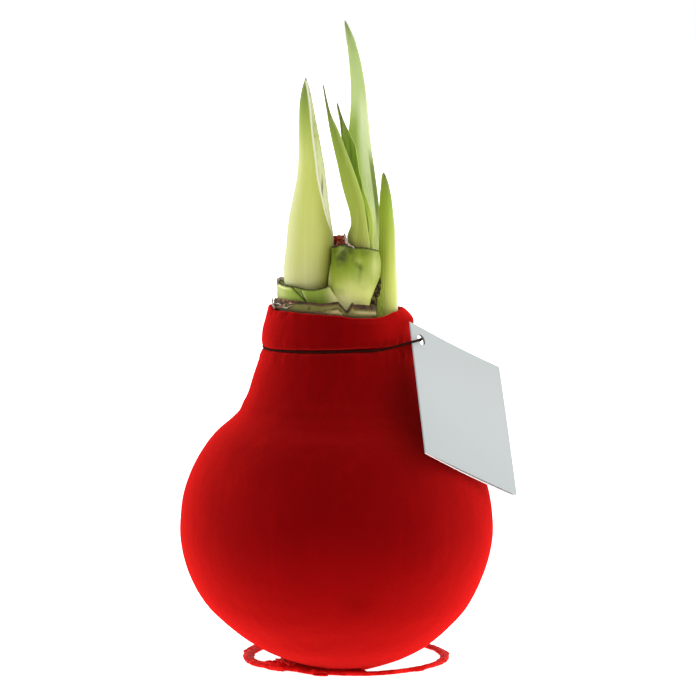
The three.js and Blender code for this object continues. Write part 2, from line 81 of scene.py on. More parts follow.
# ---- mesh steps, along a piece and around it
WAX_STEPS, WAX_AROUND, SCALE_AROUND = 250, 300, 480
NECK_STEPS, NECK_AROUND = 92, 240
LEAF_STEPS, LEAF_AROUND, TIP_STEPS = 150, 48, 130
BUD_STEPS, BUD_AROUND, SHEATH_AROUND = 210, 168, 230
COLLAR_COLUMNS, COLLAR_OUTER, COLLAR_INNER = 300, 60, 24
SCRAP_STEPS, SCRAP_AROUND = 40, 20
WIRE_STEPS, WIRE_AROUND = 640, 30
DROP_STEPS, DROP_AROUND = 30, 44
CARD_LINES, HOLE_SIDES, FOLD_STEPS, FOLD_AROUND = 60, 48, 40, 14
CORD_STEPS, CORD_AROUND = 1100, 16
FINE_STEPS = 12

# radius and height of the wax body
BODY_OUTLINE = [
    (9.8, 0), (14.6, 1.5), (21.4, 4), (28.5, 8), (36.1, 14), (44, 22), (49.3, 32), (51.8, 42), (52, 50),
    (50.6, 60), (46.7, 70), (41.3, 78), (34.6, 84), (31.6, 87), (30.2, 90), (29, 94), (27.5, 99),
]


# ---- small mathematics
def bump(x, centre, width):
    return np.exp(-(((x - centre) / width) ** 2))


def smooth(x, low, high):
    t = np.clip((x - low) / (high - low), 0, 1)
    return t * t * (3 - 2 * t)


def circle(count):
    return np.linspace(0, 2 * math.pi, count, endpoint=False)


def unit(vectors):
    return vectors / np.maximum(np.linalg.norm(vectors, axis=-1, keepdims=True), 1e-9)


def beside(route):
    """unit steps to the left of a flat route"""
    along = unit(np.gradient(route, axis=0))
    return np.stack([-along[:, 1], along[:, 0]], 1)


def signed_apart(a, b):
    return (a - b + math.pi) % (2 * math.pi) - math.pi


def toward(angle, middle, width):
    """1 in a direction and less beside it, with middle and width in degrees"""
    return bump(signed_apart(angle, math.radians(middle)), 0, math.radians(width))


def near(points, spot, size):
    """a soft spot of a size round a place"""
    return np.exp(-(np.linalg.norm((points - np.array(spot)) / np.array(size), axis=-1) ** 2))


def spots(points, table):
    """soft spots from a table of strength, place and size, added up"""
    return sum(strength * near(points, spot, size) for strength, spot, size in table)


def near_line(x, z, a, b):
    """distance from the line between two places, in the front view or another flat one"""
    a, b = np.array(a, float), np.array(b, float)
    t = np.clip(((x - a[0]) * (b[0] - a[0]) + (z - a[1]) * (b[1] - a[1])) / np.dot(b - a, b - a), 0, 1)
    return np.hypot(x - a[0] - t * (b[0] - a[0]), z - a[1] - t * (b[1] - a[1]))


SLOPES = np.array([
    (1, 1, 0), (-1, 1, 0), (1, -1, 0), (-1, -1, 0), (1, 0, 1), (-1, 0, 1), (1, 0, -1), (-1, 0, -1),
    (0, 1, 1), (0, -1, 1), (0, 1, -1), (0, -1, -1), (1, 1, 0), (0, -1, 1), (-1, 1, 0), (0, -1, -1),
], float)


def slopes_noise(at):
    """smooth noise through a slope at each corner of a unit grid"""
    base = np.floor(at).astype(np.int64)
    part = at - base
    ease = part**3 * (part * (part * 6 - 15) + 10)
    total = np.zeros(at.shape[:-1])
    for corner in np.ndindex(2, 2, 2):
        mixed = ((base + corner) * (73856093, 19349663, 83492791)).sum(-1)
        mixed = (mixed ^ (mixed >> 13)) * 1274126177
        slope = SLOPES[(mixed ^ (mixed >> 16)) & 15]
        weight = np.prod(np.where(corner, ease, 1 - ease), -1)
        total += weight * (slope * (part - corner)).sum(-1)
    return total


def lumps(points, size, seed=0, octaves=2):
    """smooth random heights from about -1 to 1, over lumps of a size in millimetres"""
    at = np.asarray(points, float) / size + (seed, seed * 1.7 + 0.31, seed * 2.3 + 0.17)
    return sum(slopes_noise(at * 2**octave) / 2**octave for octave in range(octaves))


def lumps_up(z, size, seed):
    return lumps(np.stack([0 * z, 0 * z, z], 1), size, seed)


def spline(points, at, closed=False):
    """a centripetal Catmull-Rom curve read at shares of its points' count, as three.js reads it"""
    points = np.asarray(points, float)
    count = len(points)
    made = []
    for p in at * (count if closed else count - 1):
        i = int(p)
        if closed:
            q = [points[(i + k) % count] for k in (-1, 0, 1, 2)]
        else:
            i = min(i, count - 2)
            first = points[i - 1] if i > 0 else 2 * points[0] - points[1]
            last = points[i + 2] if i + 2 < count else 2 * points[-1] - points[-2]
            q = [first, points[i], points[i + 1], last]
        w = p - i
        d = [max(np.linalg.norm(q[k + 1] - q[k]), 1e-6) ** 0.5 for k in range(3)]
        m0 = (q[1] - q[0]) / d[0] - (q[2] - q[0]) / (d[0] + d[1]) + (q[2] - q[1]) / d[1]
        m1 = (q[2] - q[1]) / d[1] - (q[3] - q[1]) / (d[1] + d[2]) + (q[3] - q[2]) / d[2]
        m0, m1, step = m0 * d[1], m1 * d[1], q[2] - q[1]
        made.append(q[1] + m0 * w + (3 * step - 2 * m0 - m1) * w**2 + (-2 * step + m0 + m1) * w**3)
    return np.array(made)


def even_spline(points, steps, closed=False):
    """the same curve at even distances along it"""
    many = spline(points, np.linspace(0, 1, len(points) * FINE_STEPS + 1), closed)
    run = np.concatenate([[0], np.cumsum(np.linalg.norm(np.diff(many[:, :3], axis=0), axis=1))])
    at = np.linspace(0, run[-1], steps + 1)[:steps if closed else None]
    return np.stack([np.interp(at, run, column) for column in many.T], 1)


def stations(rows, at):
    """smooth columns through rows of numbers, read at values of the rows' first number"""
    rows = np.asarray(rows, float)
    across = np.append(rows[1:], rows[-1:], 0) - np.append(rows[:1], rows[:-1], 0)
    slopes = across[:, 1:] / across[:, :1]
    at = np.asarray(at, float)
    i = np.clip(np.searchsorted(rows[:, 0], at, side="right") - 1, 0, len(rows) - 2)
    step = (rows[i + 1, 0] - rows[i, 0])[..., None]
    t = (at - rows[i, 0])[..., None] / step
    m0, m1 = slopes[i] * step, slopes[i + 1] * step
    t2, t3 = t * t, t * t * t
    return ((2 * t3 - 3 * t2 + 1) * rows[i, 1:] + (t3 - 2 * t2 + t) * m0 + (3 * t2 - 2 * t3) * rows[i + 1, 1:]
            + (t3 - t2) * m1)


def puffed(rings, shift):
    """rings moved outwards by a shift at each of their points"""
    normal = np.cross((np.roll(rings, -1, 1) - np.roll(rings, 1, 1)) / 2, np.gradient(rings, axis=0))
    return rings + unit(normal) * shift[..., None]


# ---- making pieces
def make_piece(name, points, faces, look, nodes, marks=None, sharp=None):
    """a smooth mesh that rides on the part, with its look and the solids it stands for"""
    mesh = bpy.data.meshes.new(name)
    mesh.from_pydata((points * MM).tolist(), [], faces)
    for mark, values in (marks or {}).items():
        layer = mesh.attributes.new(mark, "FLOAT", "POINT")
        layer.data.foreach_set("value", np.asarray(values, np.float32).ravel())
    mesh.polygons.foreach_set("use_smooth", [True] * len(mesh.polygons))
    if sharp:
        mesh.set_sharp_from_angle(angle=math.radians(sharp))
    mesh.materials.append(look)
    mesh.validate()
    item = bpy.data.objects.new(name, mesh)
    bpy.context.scene.collection.objects.link(item)
    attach(item, "root")
    if nodes:
        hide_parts(*nodes)
    return item


def skin(name, rings, look, nodes, marks=None, loops=False, sharp=None):
    """a piece whose skin runs through closed rings of equal count, with capped ends unless it loops"""
    rings = np.asarray(rings, float)
    count, around = rings.shape[:2]
    faces = []
    for i in range(count if loops else count - 1):
        a, b = i * around, (i + 1) % count * around
        faces += [(a + j, a + (j + 1) % around, b + (j + 1) % around, b + j) for j in range(around)]
    if not loops:
        faces += [tuple(range(around - 1, -1, -1)), tuple(range((count - 1) * around, count * around))]
    points = rings.reshape(-1, 3)
    volume = sum(np.dot(points[f[0]], np.cross(points[f[i]], points[f[i + 1]]))
                 for f in faces for i in range(1, len(f) - 1))
    if volume < 0:
        faces = [f[::-1] for f in faces]
    marks = {mark: np.broadcast_to(values, (count, around)) for mark, values in (marks or {}).items()}
    return make_piece(name, points, faces, look, nodes, marks, sharp)


def tube_rings(centres, half_widths, half_heights, around, closed=False):
    """oval rings across a route, upright where the route is level"""
    ends = np.roll(centres, -1, 0) - np.roll(centres, 1, 0)
    along = unit(ends if closed else np.gradient(centres, axis=0))
    level = unit(np.stack([-along[:, 1], along[:, 0], 0 * along[:, 0]], 1))
    turn = circle(around)[:, None]
    shape = (len(centres), around)
    wide, high = (np.broadcast_to(half, shape)[..., None] for half in (half_widths, half_heights))
    return (centres[:, None] + level[:, None] * np.cos(turn) * wide
            + np.cross(along, level)[:, None] * np.sin(turn) * high)


# ---- materials
def srgb(*colour):
    """a display colour, 0 to 255, as Blender's linear colour"""
    shares = [c / 255 for c in colour]
    return (*(c / 12.92 if c <= 0.04045 else ((c + 0.055) / 1.055) ** 2.4 for c in shares), 1)


NOISE_ROUGHNESS = 0.55


class Look:
    """a material under construction: a Principled shader and short ways to feed it

    A paint is red, green and blue, or a function of the look. A guide is the name of a mark on the mesh,
    with | before it where its sign is dropped, or it is noise: its scale, or its stretch along x, y and z,
    and then its detail. A span is a strength, a mark, or a guide and the values that it is carried between.
    """

    def __init__(self, name, paint, **settings):
        self.material = bpy.data.materials.new(name)
        self.material.use_nodes = True
        self.tree = self.material.node_tree
        self.shader = self.tree.nodes["Principled BSDF"]
        for key, value in {"Base_Color": self.paint(paint), **settings}.items():
            self.feed(self.shader.inputs[key.replace("_", " ")], value)

    def feed(self, socket, value):
        if isinstance(value, bpy.types.NodeSocket):
            self.tree.links.new(value, socket)
        else:
            socket.default_value = value

    def node(self, kind, inputs, **settings):
        made = self.tree.nodes.new("ShaderNode" + kind)
        for key, value in settings.items():
            setattr(made, key, value)
        for key, value in inputs.items():
            self.feed(made.inputs[key], value)
        return made

    def sums(self, operation, a, b=0):
        return self.node("Math", {0: a, 1: b}, operation=operation).outputs["Value"]

    def guide(self, what):
        if isinstance(what, str):
            mark = self.node("Attribute", {}, attribute_name=what.strip("|")).outputs["Fac"]
            return self.sums("ABSOLUTE", mark) if what[0] == "|" else mark
        *stretch, detail = what
        scale = 1
        if len(stretch) == 1:
            scale, stretch = stretch[0], (1, 1, 1)
        here = self.node("TexCoord", {}).outputs["Object"]
        where = self.node("Mapping", {"Vector": here, "Scale": stretch}).outputs["Vector"]
        inputs = {"Vector": where, "Scale": scale, "Detail": detail, "Roughness": NOISE_ROUGHNESS}
        return self.node("TexNoise", inputs).outputs["Fac"]

    def between(self, value, low, high, to_low=0, to_high=1):
        """a value carried from one span to another, held at the ends"""
        inputs = {"Value": value, "From Min": low, "From Max": high, "To Min": to_low, "To Max": to_high}
        return self.node("MapRange", inputs, interpolation_type="SMOOTHSTEP").outputs["Result"]

    def ramp(self, value, stops, way):
        made = self.node("ValToRGB", {"Fac": value})
        made.color_ramp.interpolation = way
        elements = made.color_ramp.elements
        while len(elements) < len(stops):
            elements.new(0.5)
        for element, (at, *colour) in zip(elements, stops):
            element.position = at
            element.color = srgb(*colour)
        return made.outputs["Color"]

    def paint(self, what):
        return what(self) if callable(what) else srgb(*what)

    def share(self, span):
        if isinstance(span, tuple):
            return self.between(self.guide(span[0]), *span[1:])
        return self.guide(span) if isinstance(span, str) else span

    def coat(self, colour, paint, *spans):
        """a colour under a paint that comes in as far as all the spans let it"""
        share = self.share(spans[0])
        for span in spans[1:]:
            share = self.sums("MULTIPLY", share, self.share(span))
        inputs = {"Factor": share, 6: colour, 7: self.paint(paint)}
        return self.node("Mix", inputs, data_type="RGBA").outputs[2]

    def rough(self, *layers):
        """bumps in turn: pairs of a height and its depth in metres; the material is then done"""
        below = {}
        for height, depth in layers:
            bumped = self.node("Bump", {"Height": height, "Distance": depth, "Strength": 1, **below})
            below = {"Normal": bumped.outputs["Normal"]}
        self.feed(self.shader.inputs["Normal"], below["Normal"])
        return self.material


def up_leaf(*stops):
    """a paint that changes up a leaf, from its stops: share of the way up, red, green and blue"""
    return lambda look: look.ramp(look.guide("along"), stops, "B_SPLINE")


def grain(scale, *stops):
    """a paint that changes with noise of a scale"""
    return lambda look: look.ramp(look.guide((scale, 3)), stops, "LINEAR")


def coated(start, *coats):
    """a paint under coats in turn, each a paint and the spans of the guides that bring it in"""
    def paint(look):
        colour = look.paint(start)
        for coat in coats:
            colour = look.coat(colour, *coat)
        return colour
    return paint


VEINS = 46


def tissue(name, paint, roughness=0.5, vein_depth=0.00003, sheer=0.12):
    """living plant skin: a paint, fine long veins and a little light through it"""
    look = Look(name, paint, Roughness=roughness, Specular_IOR_Level=0.2, Subsurface_Weight=sheer,
                Subsurface_Radius=(0.8, 1, 0.3), Subsurface_Scale=0.003)
    veins = look.sums("SINE", look.sums("MULTIPLY", look.guide("across"), VEINS))
    return look.rough((veins, vein_depth), (look.guide((1500, 1500, 220, 3)), vein_depth * 1.2))


def velvet_wax():
    """flocked wax: deep red face on, bright red where the nap is seen from the side"""
    # the coat on the low mark is painted light: it brightens the lower body, the right front and the neck's
    # right side; the last, dark coat marks small specks and paints shade
    paint = coated(
        (78, 0, 2), ((87, 1, 3), ((38, 4), 0.3, 0.7)), ((112, 2, 4), ((230, 230, 9, 3), 0.45, 0.75, 0, 0.3)),
        ((58, 0, 0), ((950, 2), 0.74, 0.8, 0, 0.5)), ((122, 3, 4), "low"), ((48, 0, 0), "stain"),
    )
    look = Look("velvet_wax", paint, Roughness=1, Specular_IOR_Level=0, Sheen_Weight=0.96,
                Sheen_Roughness=0.56, Sheen_Tint=srgb(255, 42, 38))
    return look.rough((look.guide((420, 420, 30, 2)), 0.00005), (look.guide((2600, 3)), 0.0001))


STREAKS = (
    ((210, 214, 163), ((900, 900, 14, 2), 0.5, 0.75, 0, 0.07)),
    ((90, 112, 26), ((600, 600, 20, 2), 0.5, 0.75, 0, 0.07)),
)
TALL_PAINT = coated(
    up_leaf((0, 196, 206, 140), (0.29, 210, 222, 134), (0.42, 208, 228, 132), (0.55, 166, 187, 100),
            (0.66, 173, 188, 120), (0.76, 171, 187, 124), (0.9, 158, 175, 107), (1, 126, 142, 86)),
    *STREAKS, ((107, 107, 76), ("along", 0.985, 1)),
    ((206, 215, 172), 0.7, ("across", -0.15, 0.35), ("along", 0.16, 0.3), ("along", 0.8, 0.68)),
    ((127, 151, 51), 0.85, ("across", 0.1, -0.4), ("along", 0.76, 0.64)),
    ((244, 255, 196), ("across", 0, 0.45), ("along", 0.47, 0.36), ("face", -0.1, 0.3)),
    # painted shade on the right flank, which turns away from the light
    ((101, 117, 32), 0.85, ("along", 0.6, 0.52), ("along", 0.27, 0.4), ("across", 0.62, 0.74)),
)
FRONT_PAINT = coated(
    up_leaf((0, 163, 163, 89), (0.35, 115, 117, 44), (0.42, 135, 143, 56), (0.58, 130, 144, 46),
            (0.75, 117, 135, 42), (0.87, 108, 125, 44), (0.94, 104, 106, 64), (1, 94, 83, 78)),
    *STREAKS, ((161, 174, 78), ("|across", 0.86, 1, 0, 0.6)),
    # darker brown at the left of the foot: brown marks with painted shade
    ((75, 63, 24), 0.7, ("across", -0.3, -0.9), ("along", 0.45, 0.38)),
    ((159, 174, 71), 0.25, ("across", 0.1, 0.9)),
)
INNER_PAINT = coated(
    up_leaf((0, 181, 196, 99), (0.48, 181, 197, 83), (0.6, 116, 146, 14), (0.72, 76, 104, 0),
            (0.86, 105, 130, 8), (0.94, 103, 112, 55), (1, 87, 80, 75)),
    *STREAKS, ((197, 208, 115), ("|across", 0.86, 1, 0, 0.85)),
    ((64, 91, 2), ((900, 900, 12, 2), 0.45, 0.62), ("along", 0.5, 0.62, 0, 0.6)),
    ((87, 110, 13), 0.8, ("across", 0.38, 0.48), ("across", 0.62, 0.52), ("along", 0.66, 0.55)),
)
SIDE_PAINT = coated(
    up_leaf((0, 190, 194, 112), (0.28, 182, 188, 84), (0.54, 152, 162, 60), (0.74, 132, 154, 34),
            (0.87, 112, 138, 18), (0.97, 101, 114, 40), (1, 97, 91, 79)),
    *STREAKS, ((204, 209, 190), ("across", 0, 0.9), ("along", 0.9, 0.6, 0.2, 0.75)),
    # painted shade on the left part, which lies in shadow
    ((116, 132, 22), ("across", -0.15, -0.85, 0, 0.8), ("along", 0.1, 0.5, 0.35, 1)),
)
BUD_MARGIN = up_leaf((0.5, 200, 204, 164), (0.7, 194, 200, 150), (0.78, 158, 172, 88), (0.86, 178, 183, 141))
BUD_PAINT = coated(
    up_leaf((0, 154, 151, 104), (0.16, 158, 156, 106), (0.3, 166, 169, 96), (0.5, 169, 175, 88),
            (0.7, 168, 175, 89), (0.8, 144, 159, 68), (0.92, 107, 126, 44), (1, 102, 114, 60)),
    ((188, 191, 135), ((800, 800, 9, 3), 0.45, 0.72, 0, 0.14)),
    # painted light and shade: the left side lower down is lighter, and the right side darker olive, part
    # painted shade and part the bud's own olive
    ((188, 190, 140), ("side", -0.35, -0.95), ("along", 0.85, 0.6, 0, 0.55)),
    ((124, 126, 30), ("side", 0.05, 0.95), ("along", 0.7, 0.45, 0.25, 0.75)),
    ((154, 161, 51), ("side", -0.2, 0.3), ("along", 0.95, 0.75, 0, 0.35), ("along", 0.45, 0.62)),
    (BUD_MARGIN, 0.8, "papery"),
    ((97, 100, 68), 0.7, ((1900, 1900, 700, 3), 0.54, 0.64), ("along", 0.72, 0.8, 0.25, 0.8), "papery"),
    ((200, 200, 175), 0.95, "edge"), ((42, 48, 18), "hollow"), ((90, 82, 65), ("along", 0.985, 1)),
)


def base_paint(pale, green, dark):
    """cut leaf bases: green above, paler below, with painted shade in hollows, creases and slits, and a dry
    brown rim
    """
    return coated(
        up_leaf((0, *pale), (0.42, *pale), (0.62, *green), (0.9, *green), (1, *green)),
        ((109, 130, 32), ((200, 3), 0.42, 0.66, 0, 0.45)),
        ((186, 192, 107), ((1000, 1000, 60, 3), 0.5, 0.75, 0, 0.1)),
        ((236, 230, 164), 0.95, "pale"), (dark, 0.92, "hollow"), ((207, 203, 146), "dry"),
        ((34, 27, 4), "rim", ((900, 3), 0.25, 0.5, 0.7, 1)),
    )


# the bulb's own scales: olive with fine upright veins, a dry brown edge and painted shade in a dark line
# along the wax
SCALE_PAINT = coated(
    (88, 88, 34), ((106, 98, 48), ((150, 3), 0.35, 0.65)),
    ((89, 89, 33), ((1300, 1300, 70, 3), 0.45, 0.7, 0, 0.4)),
    ((169, 155, 106), 0.7, "dry"), ((92, 61, 31), ((420, 3), 0.6, 0.72, 0, 0.45)),
    (coated((34, 24, 2), ((70, 46, 20), ((700, 3), 0.4, 0.6))), "rim"), ((58, 32, 10), 0.9, "hollow"),
)
DRY_PAINT = coated(
    (116, 118, 58), ((136, 110, 70), ((500, 3), 0.4, 0.65)),
    (grain(900, (0.36, 80, 12, 8), (0.45, 172, 44, 30), (0.56, 200, 84, 60), (0.65, 240, 200, 176)),
     ("along", 0.66, 0.78)),
)
PAPERY_PAINT = coated(
    grain(1000, (0.36, 150, 110, 84), (0.46, 214, 196, 170), (0.6, 240, 234, 214), (0.7, 226, 214, 176)),
    ((84, 50, 34), ("|across", 0.6, 0.85)),
)
BARK_PAINT = grain(900, (0.36, 74, 42, 26), (0.46, 132, 88, 64), (0.58, 176, 128, 104), (0.7, 214, 186, 158))
HUSK_PAINT = grain(900, (0.34, 26, 8, 6), (0.47, 52, 26, 10), (0.57, 98, 92, 22), (0.7, 150, 146, 60))


# ---- wax
def foot_shift(z):
    return FOOT_SHIFT * (1 - np.clip(z / FOOT_SHIFT_HEIGHT, 0, 1)) ** 2


def edge_height(edge, angle):
    """the height of an edge round the neck, from its table of degrees and heights"""
    return np.interp(np.degrees(signed_apart(angle, 0)), *np.array(edge, float).T)


# degrees round the neck and heights
RIM_EDGE = [
    (-180, 122), (-171, 122.7), (-164, 122.1), (-156, 120.9), (-125, 120.8), (-105, 120.4), (-88, 119.9),
    (-74, 119), (-57, 118.7), (-45, 119.1), (-25, 120.3), (-10, 120.9), (0, 120.6), (20, 120.8),
    (90, 121.3), (180, 122),
]
SCALE_EDGE = [
    (-180, 123.6), (-170, 123.6), (-156, 123.9), (-137, 124.1), (-119, 124.3), (-110, 124.05),
    (-103, 123.8), (-96, 124.1), (-88.5, 124.5), (-80.7, 121.4), (-75.4, 124.2), (-73.5, 123.5),
    (-63, 123.2), (-51.5, 122.9), (-48.8, 117), (8, 117), (16, 121.5), (24, 123), (90, 123.3), (180, 123.6),
]
LOWER_EDGE = [
    (-180, 118), (-121, 119.2), (-113.5, 120.4), (-104, 121), (-96, 121.4), (-89.3, 122.2),
    (-84.6, 120.9), (-82, 119), (180, 118),
]


def turned(rows, angle, wave):
    """rings of a turned body from rows of radius, height, share of the wave and share of the cord's tilt"""
    radius, height, share, tilt = rows.T[..., None]
    z = height + share * wave + tilt * CORD_TILT * np.cos(angle)
    return np.stack([radius * np.cos(angle) + foot_shift(height), radius * np.sin(angle), z], -1)


def full_rows(rows):
    return np.array([(*row, 0, 0)[:4] for row in rows], float)


def inset_body(depth, steps):
    rows = even_spline(BODY_OUTLINE, steps)
    return rows + beside(rows) * depth


# radius, height, share of the rim's wave and share of the cord's tilt
GROOVE_OUTLINE = [
    (26, 103.5), (25.4, 106.4, 0, 1), (24.6, 107.4, 0, 1), (23.5, 107.75, 0, 1),
    (GROOVE_RADIUS, CORD_HEIGHT, 0, 1), (23.4, 108.85, 0, 1), (24.4, 109.2, 0, 1), (24.9, 110.4, 0, 1),
    (24.9, 113.2), (24.1, 117.4, 0.3),
]
RIM_OUTLINE = [
    (RIM_RADIUS, RIM_HEIGHT - RIM_ROUND, 1), (RIM_RADIUS - 0.25, RIM_HEIGHT - 0.15, 1),
    (RIM_RADIUS - 0.8, RIM_HEIGHT, 1), (NECK_BORE + 0.3, RIM_HEIGHT - 0.15, 1),
    (NECK_BORE + 0.05, RIM_HEIGHT - RIM_ROUND, 1), (NECK_BORE, 116.5, 0.2),
]
WAX_DENT = (6.9, -47.6, 30.6)
# darker soft spots by strength, place and size: painted shade in the dent, the tag's painted shadow on the
# neck, then three small dark specks
WAX_SPECKS_AND_SHADE = [
    (0.25, WAX_DENT, 5.5), (0.9, (24, -24, 80), (9, 14, 16)), (1, (31, -13.3, 12.2), 0.8),
    (1, (11.4, -22.5, 6.1), 0.8), (1, (14, -19.8, 5.6), 0.8),
]
# the centre of a painted pool of light on the neck's right side, below the lip
LIP_PAINTED_LIGHT = (19.5, -14.5, 114)


def wax_skin(look):
    """the whole wax coat: foot, body, neck with the cord's groove, rim, and the lining that meets the bulb"""
    foot = full_rows([(0.01, 0), (3, 0), (6.5, 0)])
    outside = even_spline(full_rows([*BODY_OUTLINE, *GROOVE_OUTLINE, *RIM_OUTLINE]), WAX_STEPS)
    lining = full_rows([(NECK_BORE, 112), (NECK_BORE, 109), (23.4, 104), *inset_body(WAX_WALL, 40)[::-1],
                        (5, WAX_WALL), (0.01, WAX_WALL)])
    rows = np.concatenate([foot, outside, lining])
    rows[:, 1] = np.maximum(rows[:, 1], 0)
    angle = circle(WAX_AROUND)
    rings = turned(rows, angle, edge_height(RIM_EDGE, angle) - RIM_HEIGHT)
    height = rings[..., 2]
    shown = np.zeros((len(rows), 1))
    shown[len(foot):-len(lining)] = 1
    body = 0.25 * lumps(rings, 24, 1.3) + 0.07 * lumps(rings, 6, 4.1) - 0.3 * near(rings, WAX_DENT, 4)
    body += 0.32 * bump(height, 48, 18) + 0.45 * bump(height, 12, 10)
    body += 1.4 * toward(angle, -90, 52) * bump(height, 87.5, 4.6)
    puckers = 0.22 * lumps(np.stack([np.cos(angle) * 23, np.sin(angle) * 23, 0 * angle], -1), 2.6, 7.7)
    pinched = puckers * (bump(height, CORD_HEIGHT + 2.2, 1.6) + bump(height, CORD_HEIGHT - 2.4, 2.2))
    ragged = 0.3 * lumps(rings, 3.2, 9.2) * smooth(height, 117, 120.5)
    right = 1.6 * bump(height, 116.8, 2.8) - 0.5 * smooth(height, 119.6, 121) + 1.1 * bump(height, 108.5, 3.5)
    left = 0.6 * bump(height, 88.5, 3) + 0.7 * bump(height, CORD_HEIGHT - CORD_TILT, 1)
    left -= 0.3 * smooth(height, 112, 118)
    sides = toward(angle, -8, 26) * right + toward(angle, 180, 50) * left
    # painted shade in the cord's groove and just above it
    above_cord = height - CORD_HEIGHT - CORD_TILT * np.cos(angle)
    hollow = 0.8 * bump(above_cord, 0, 0.75) + 0.3 * bump(above_cord, 1.4, 1.2)
    # painted light: brighter towards the bottom, on the right front and by the lip, where the lamps and the
    # floor light the wax
    low = 0.16 * smooth(height, 90, 66) + 0.68 * smooth(height, 58, 16) + 0.14 * toward(angle, -48, 22)
    fade = smooth(height, 2, 8)
    rings = puffed(rings, shown * smooth(height, 1, 9) * (body + pinched + ragged + sides))
    marks = {
        "stain": np.clip(spots(rings, WAX_SPECKS_AND_SHADE) + shown * hollow, 0, 1),
        "low": (low + 0.85 * near(rings, LIP_PAINTED_LIGHT, (7, 9, 7))) * fade,
    }
    skin("wax_skin", rings, look, ["wax_coat"], marks)


# ---- bulb and cut scales
def bulb_flesh(look):
    """the living bulb inside the wax; its outermost scale is cut off just above the rim"""
    bore, floor = NECK - SCALE_WALL, WAX_WALL + GAP
    hidden = [(0.01, floor), (4, floor), *inset_body(floor, 30), (23.4 - GAP, 104)]
    wall = [(NECK, z, smooth(z, 115, 121)) for z in np.linspace(109, SCALE_TOP - 0.7, 26)]
    edge = [(NECK - 0.02, SCALE_TOP - 0.35, 1), (NECK - 0.14, SCALE_TOP - 0.1, 1),
            (NECK - 0.38, SCALE_TOP, 1), (bore + 0.14, SCALE_TOP - 0.1, 1), (bore, SCALE_TOP - 0.4, 1)]
    bored = [(bore, z, smooth(z, 115, 121)) for z in np.linspace(SCALE_TOP - 1.2, WELL_FLOOR, 10)]
    rows = full_rows([*hidden, *wall, *edge, *bored, (10, WELL_FLOOR), (0.01, WELL_FLOOR)])
    rows[:, 1] = np.maximum(rows[:, 1], floor)
    angle = circle(SCALE_AROUND)
    top = edge_height(SCALE_EDGE, angle)
    rings = turned(rows, angle, top - SCALE_TOP)
    waved = rows[:, 2:3]
    rings[..., 2] += waved * (0.1 * lumps(rings, 1.1, 3.3) + 0.1 * lumps(rings, 4, 5.5))
    height = rings[..., 2]
    outer = (np.arange(len(rows)) < len(hidden) + len(wall) + 3)[:, None]
    under = edge_height(LOWER_EDGE, angle) - height + 0.12 * lumps(rings, 1.2, 2.2)
    spread = 0.1 * lumps(rings, 2.4, 8.1) * waved
    spread = spread + outer * 0.3 * smooth(under, -0.1, 0.15) * smooth(height, 117, 118.5)
    reach = np.linalg.norm(rings[..., :2], axis=-1, keepdims=True)
    rings[..., :2] *= 1 + spread[..., None] / np.maximum(reach, 1)
    # on the right the dry brown edge reaches further down, where it also paints the shade under the edge
    below = top - height - 0.2 - 0.7 * smooth(angle, 4.85, 4.95)
    cut = smooth(below, 1.15, 0.6) * (rows[:, 1:2] > 119)
    cream = smooth(below, 1.1, 1.5) * smooth(below, 2.5, 1.8) * smooth(angle, 4.9, 5.1)
    shaded = smooth(height - edge_height(RIM_EDGE, angle), 0.9, 0.1)
    marks = {
        "rim": np.maximum(cut, outer * bump(under, -0.05, 0.28)),
        "across": signed_apart(angle, 0) * 4,
        "hollow": outer * np.maximum(shaded, 0.9 * near(rings, (-9, -18.8, 121.9), (0.5, 3, 0.9))),
        "dry": outer * np.maximum(cream, smooth(under, 0.1, 0.3)),
    }
    skin("bulb_flesh", rings, look, ["bulb"], marks)


ROOM_OUTLINE = [
    (-22, 1), (-19.6, 3.2), (-16, 5.3), (-11, 6.2), (-5.8, 5.2), (-3, 1.4), (0, 0.4), (3.4, 1.6), (5, 5.6),
    (9, 8), (13.6, 6.8), (15.6, 3), (18.6, 0.6), (22, 0.4), (22, -22), (-22, -22),
]


def outside_room(x, y):
    """how far a point lies outside the space that the shoots take up, less than zero inside it"""
    outline = spline(ROOM_OUTLINE, np.linspace(0, 1, 97))
    nearest, inside = np.full(x.shape, 1e9), np.zeros(x.shape, bool)
    for a, b in zip(outline, np.roll(outline, -1, 0)):
        nearest = np.minimum(nearest, near_line(x, y, a, b))
        run, rise = b - a
        inside ^= ((a[1] > y) != (b[1] > y)) & (x < a[0] + (y - a[1]) * run / (rise or TOUCH))
    return np.where(inside, -nearest, nearest)


NECK_RINGS = [
    (0, 116.6), (9.6, 116.8), (10.2, 118.6), (10.5, 119), (11.1, 119), (11.4, 118.6), (11.9, 117.4),
    (13.5, 117.6), (14, 119.6), (14.3, 120), (14.9, 120), (15.1, 119.6), (15.6, 118.2), (17.1, 118.4),
    (17.6, 120.3), (17.9, 120.7), (18.5, 120.7), (18.7, 120.3), (19.2, 118.6), (20.5, 118.9),
]


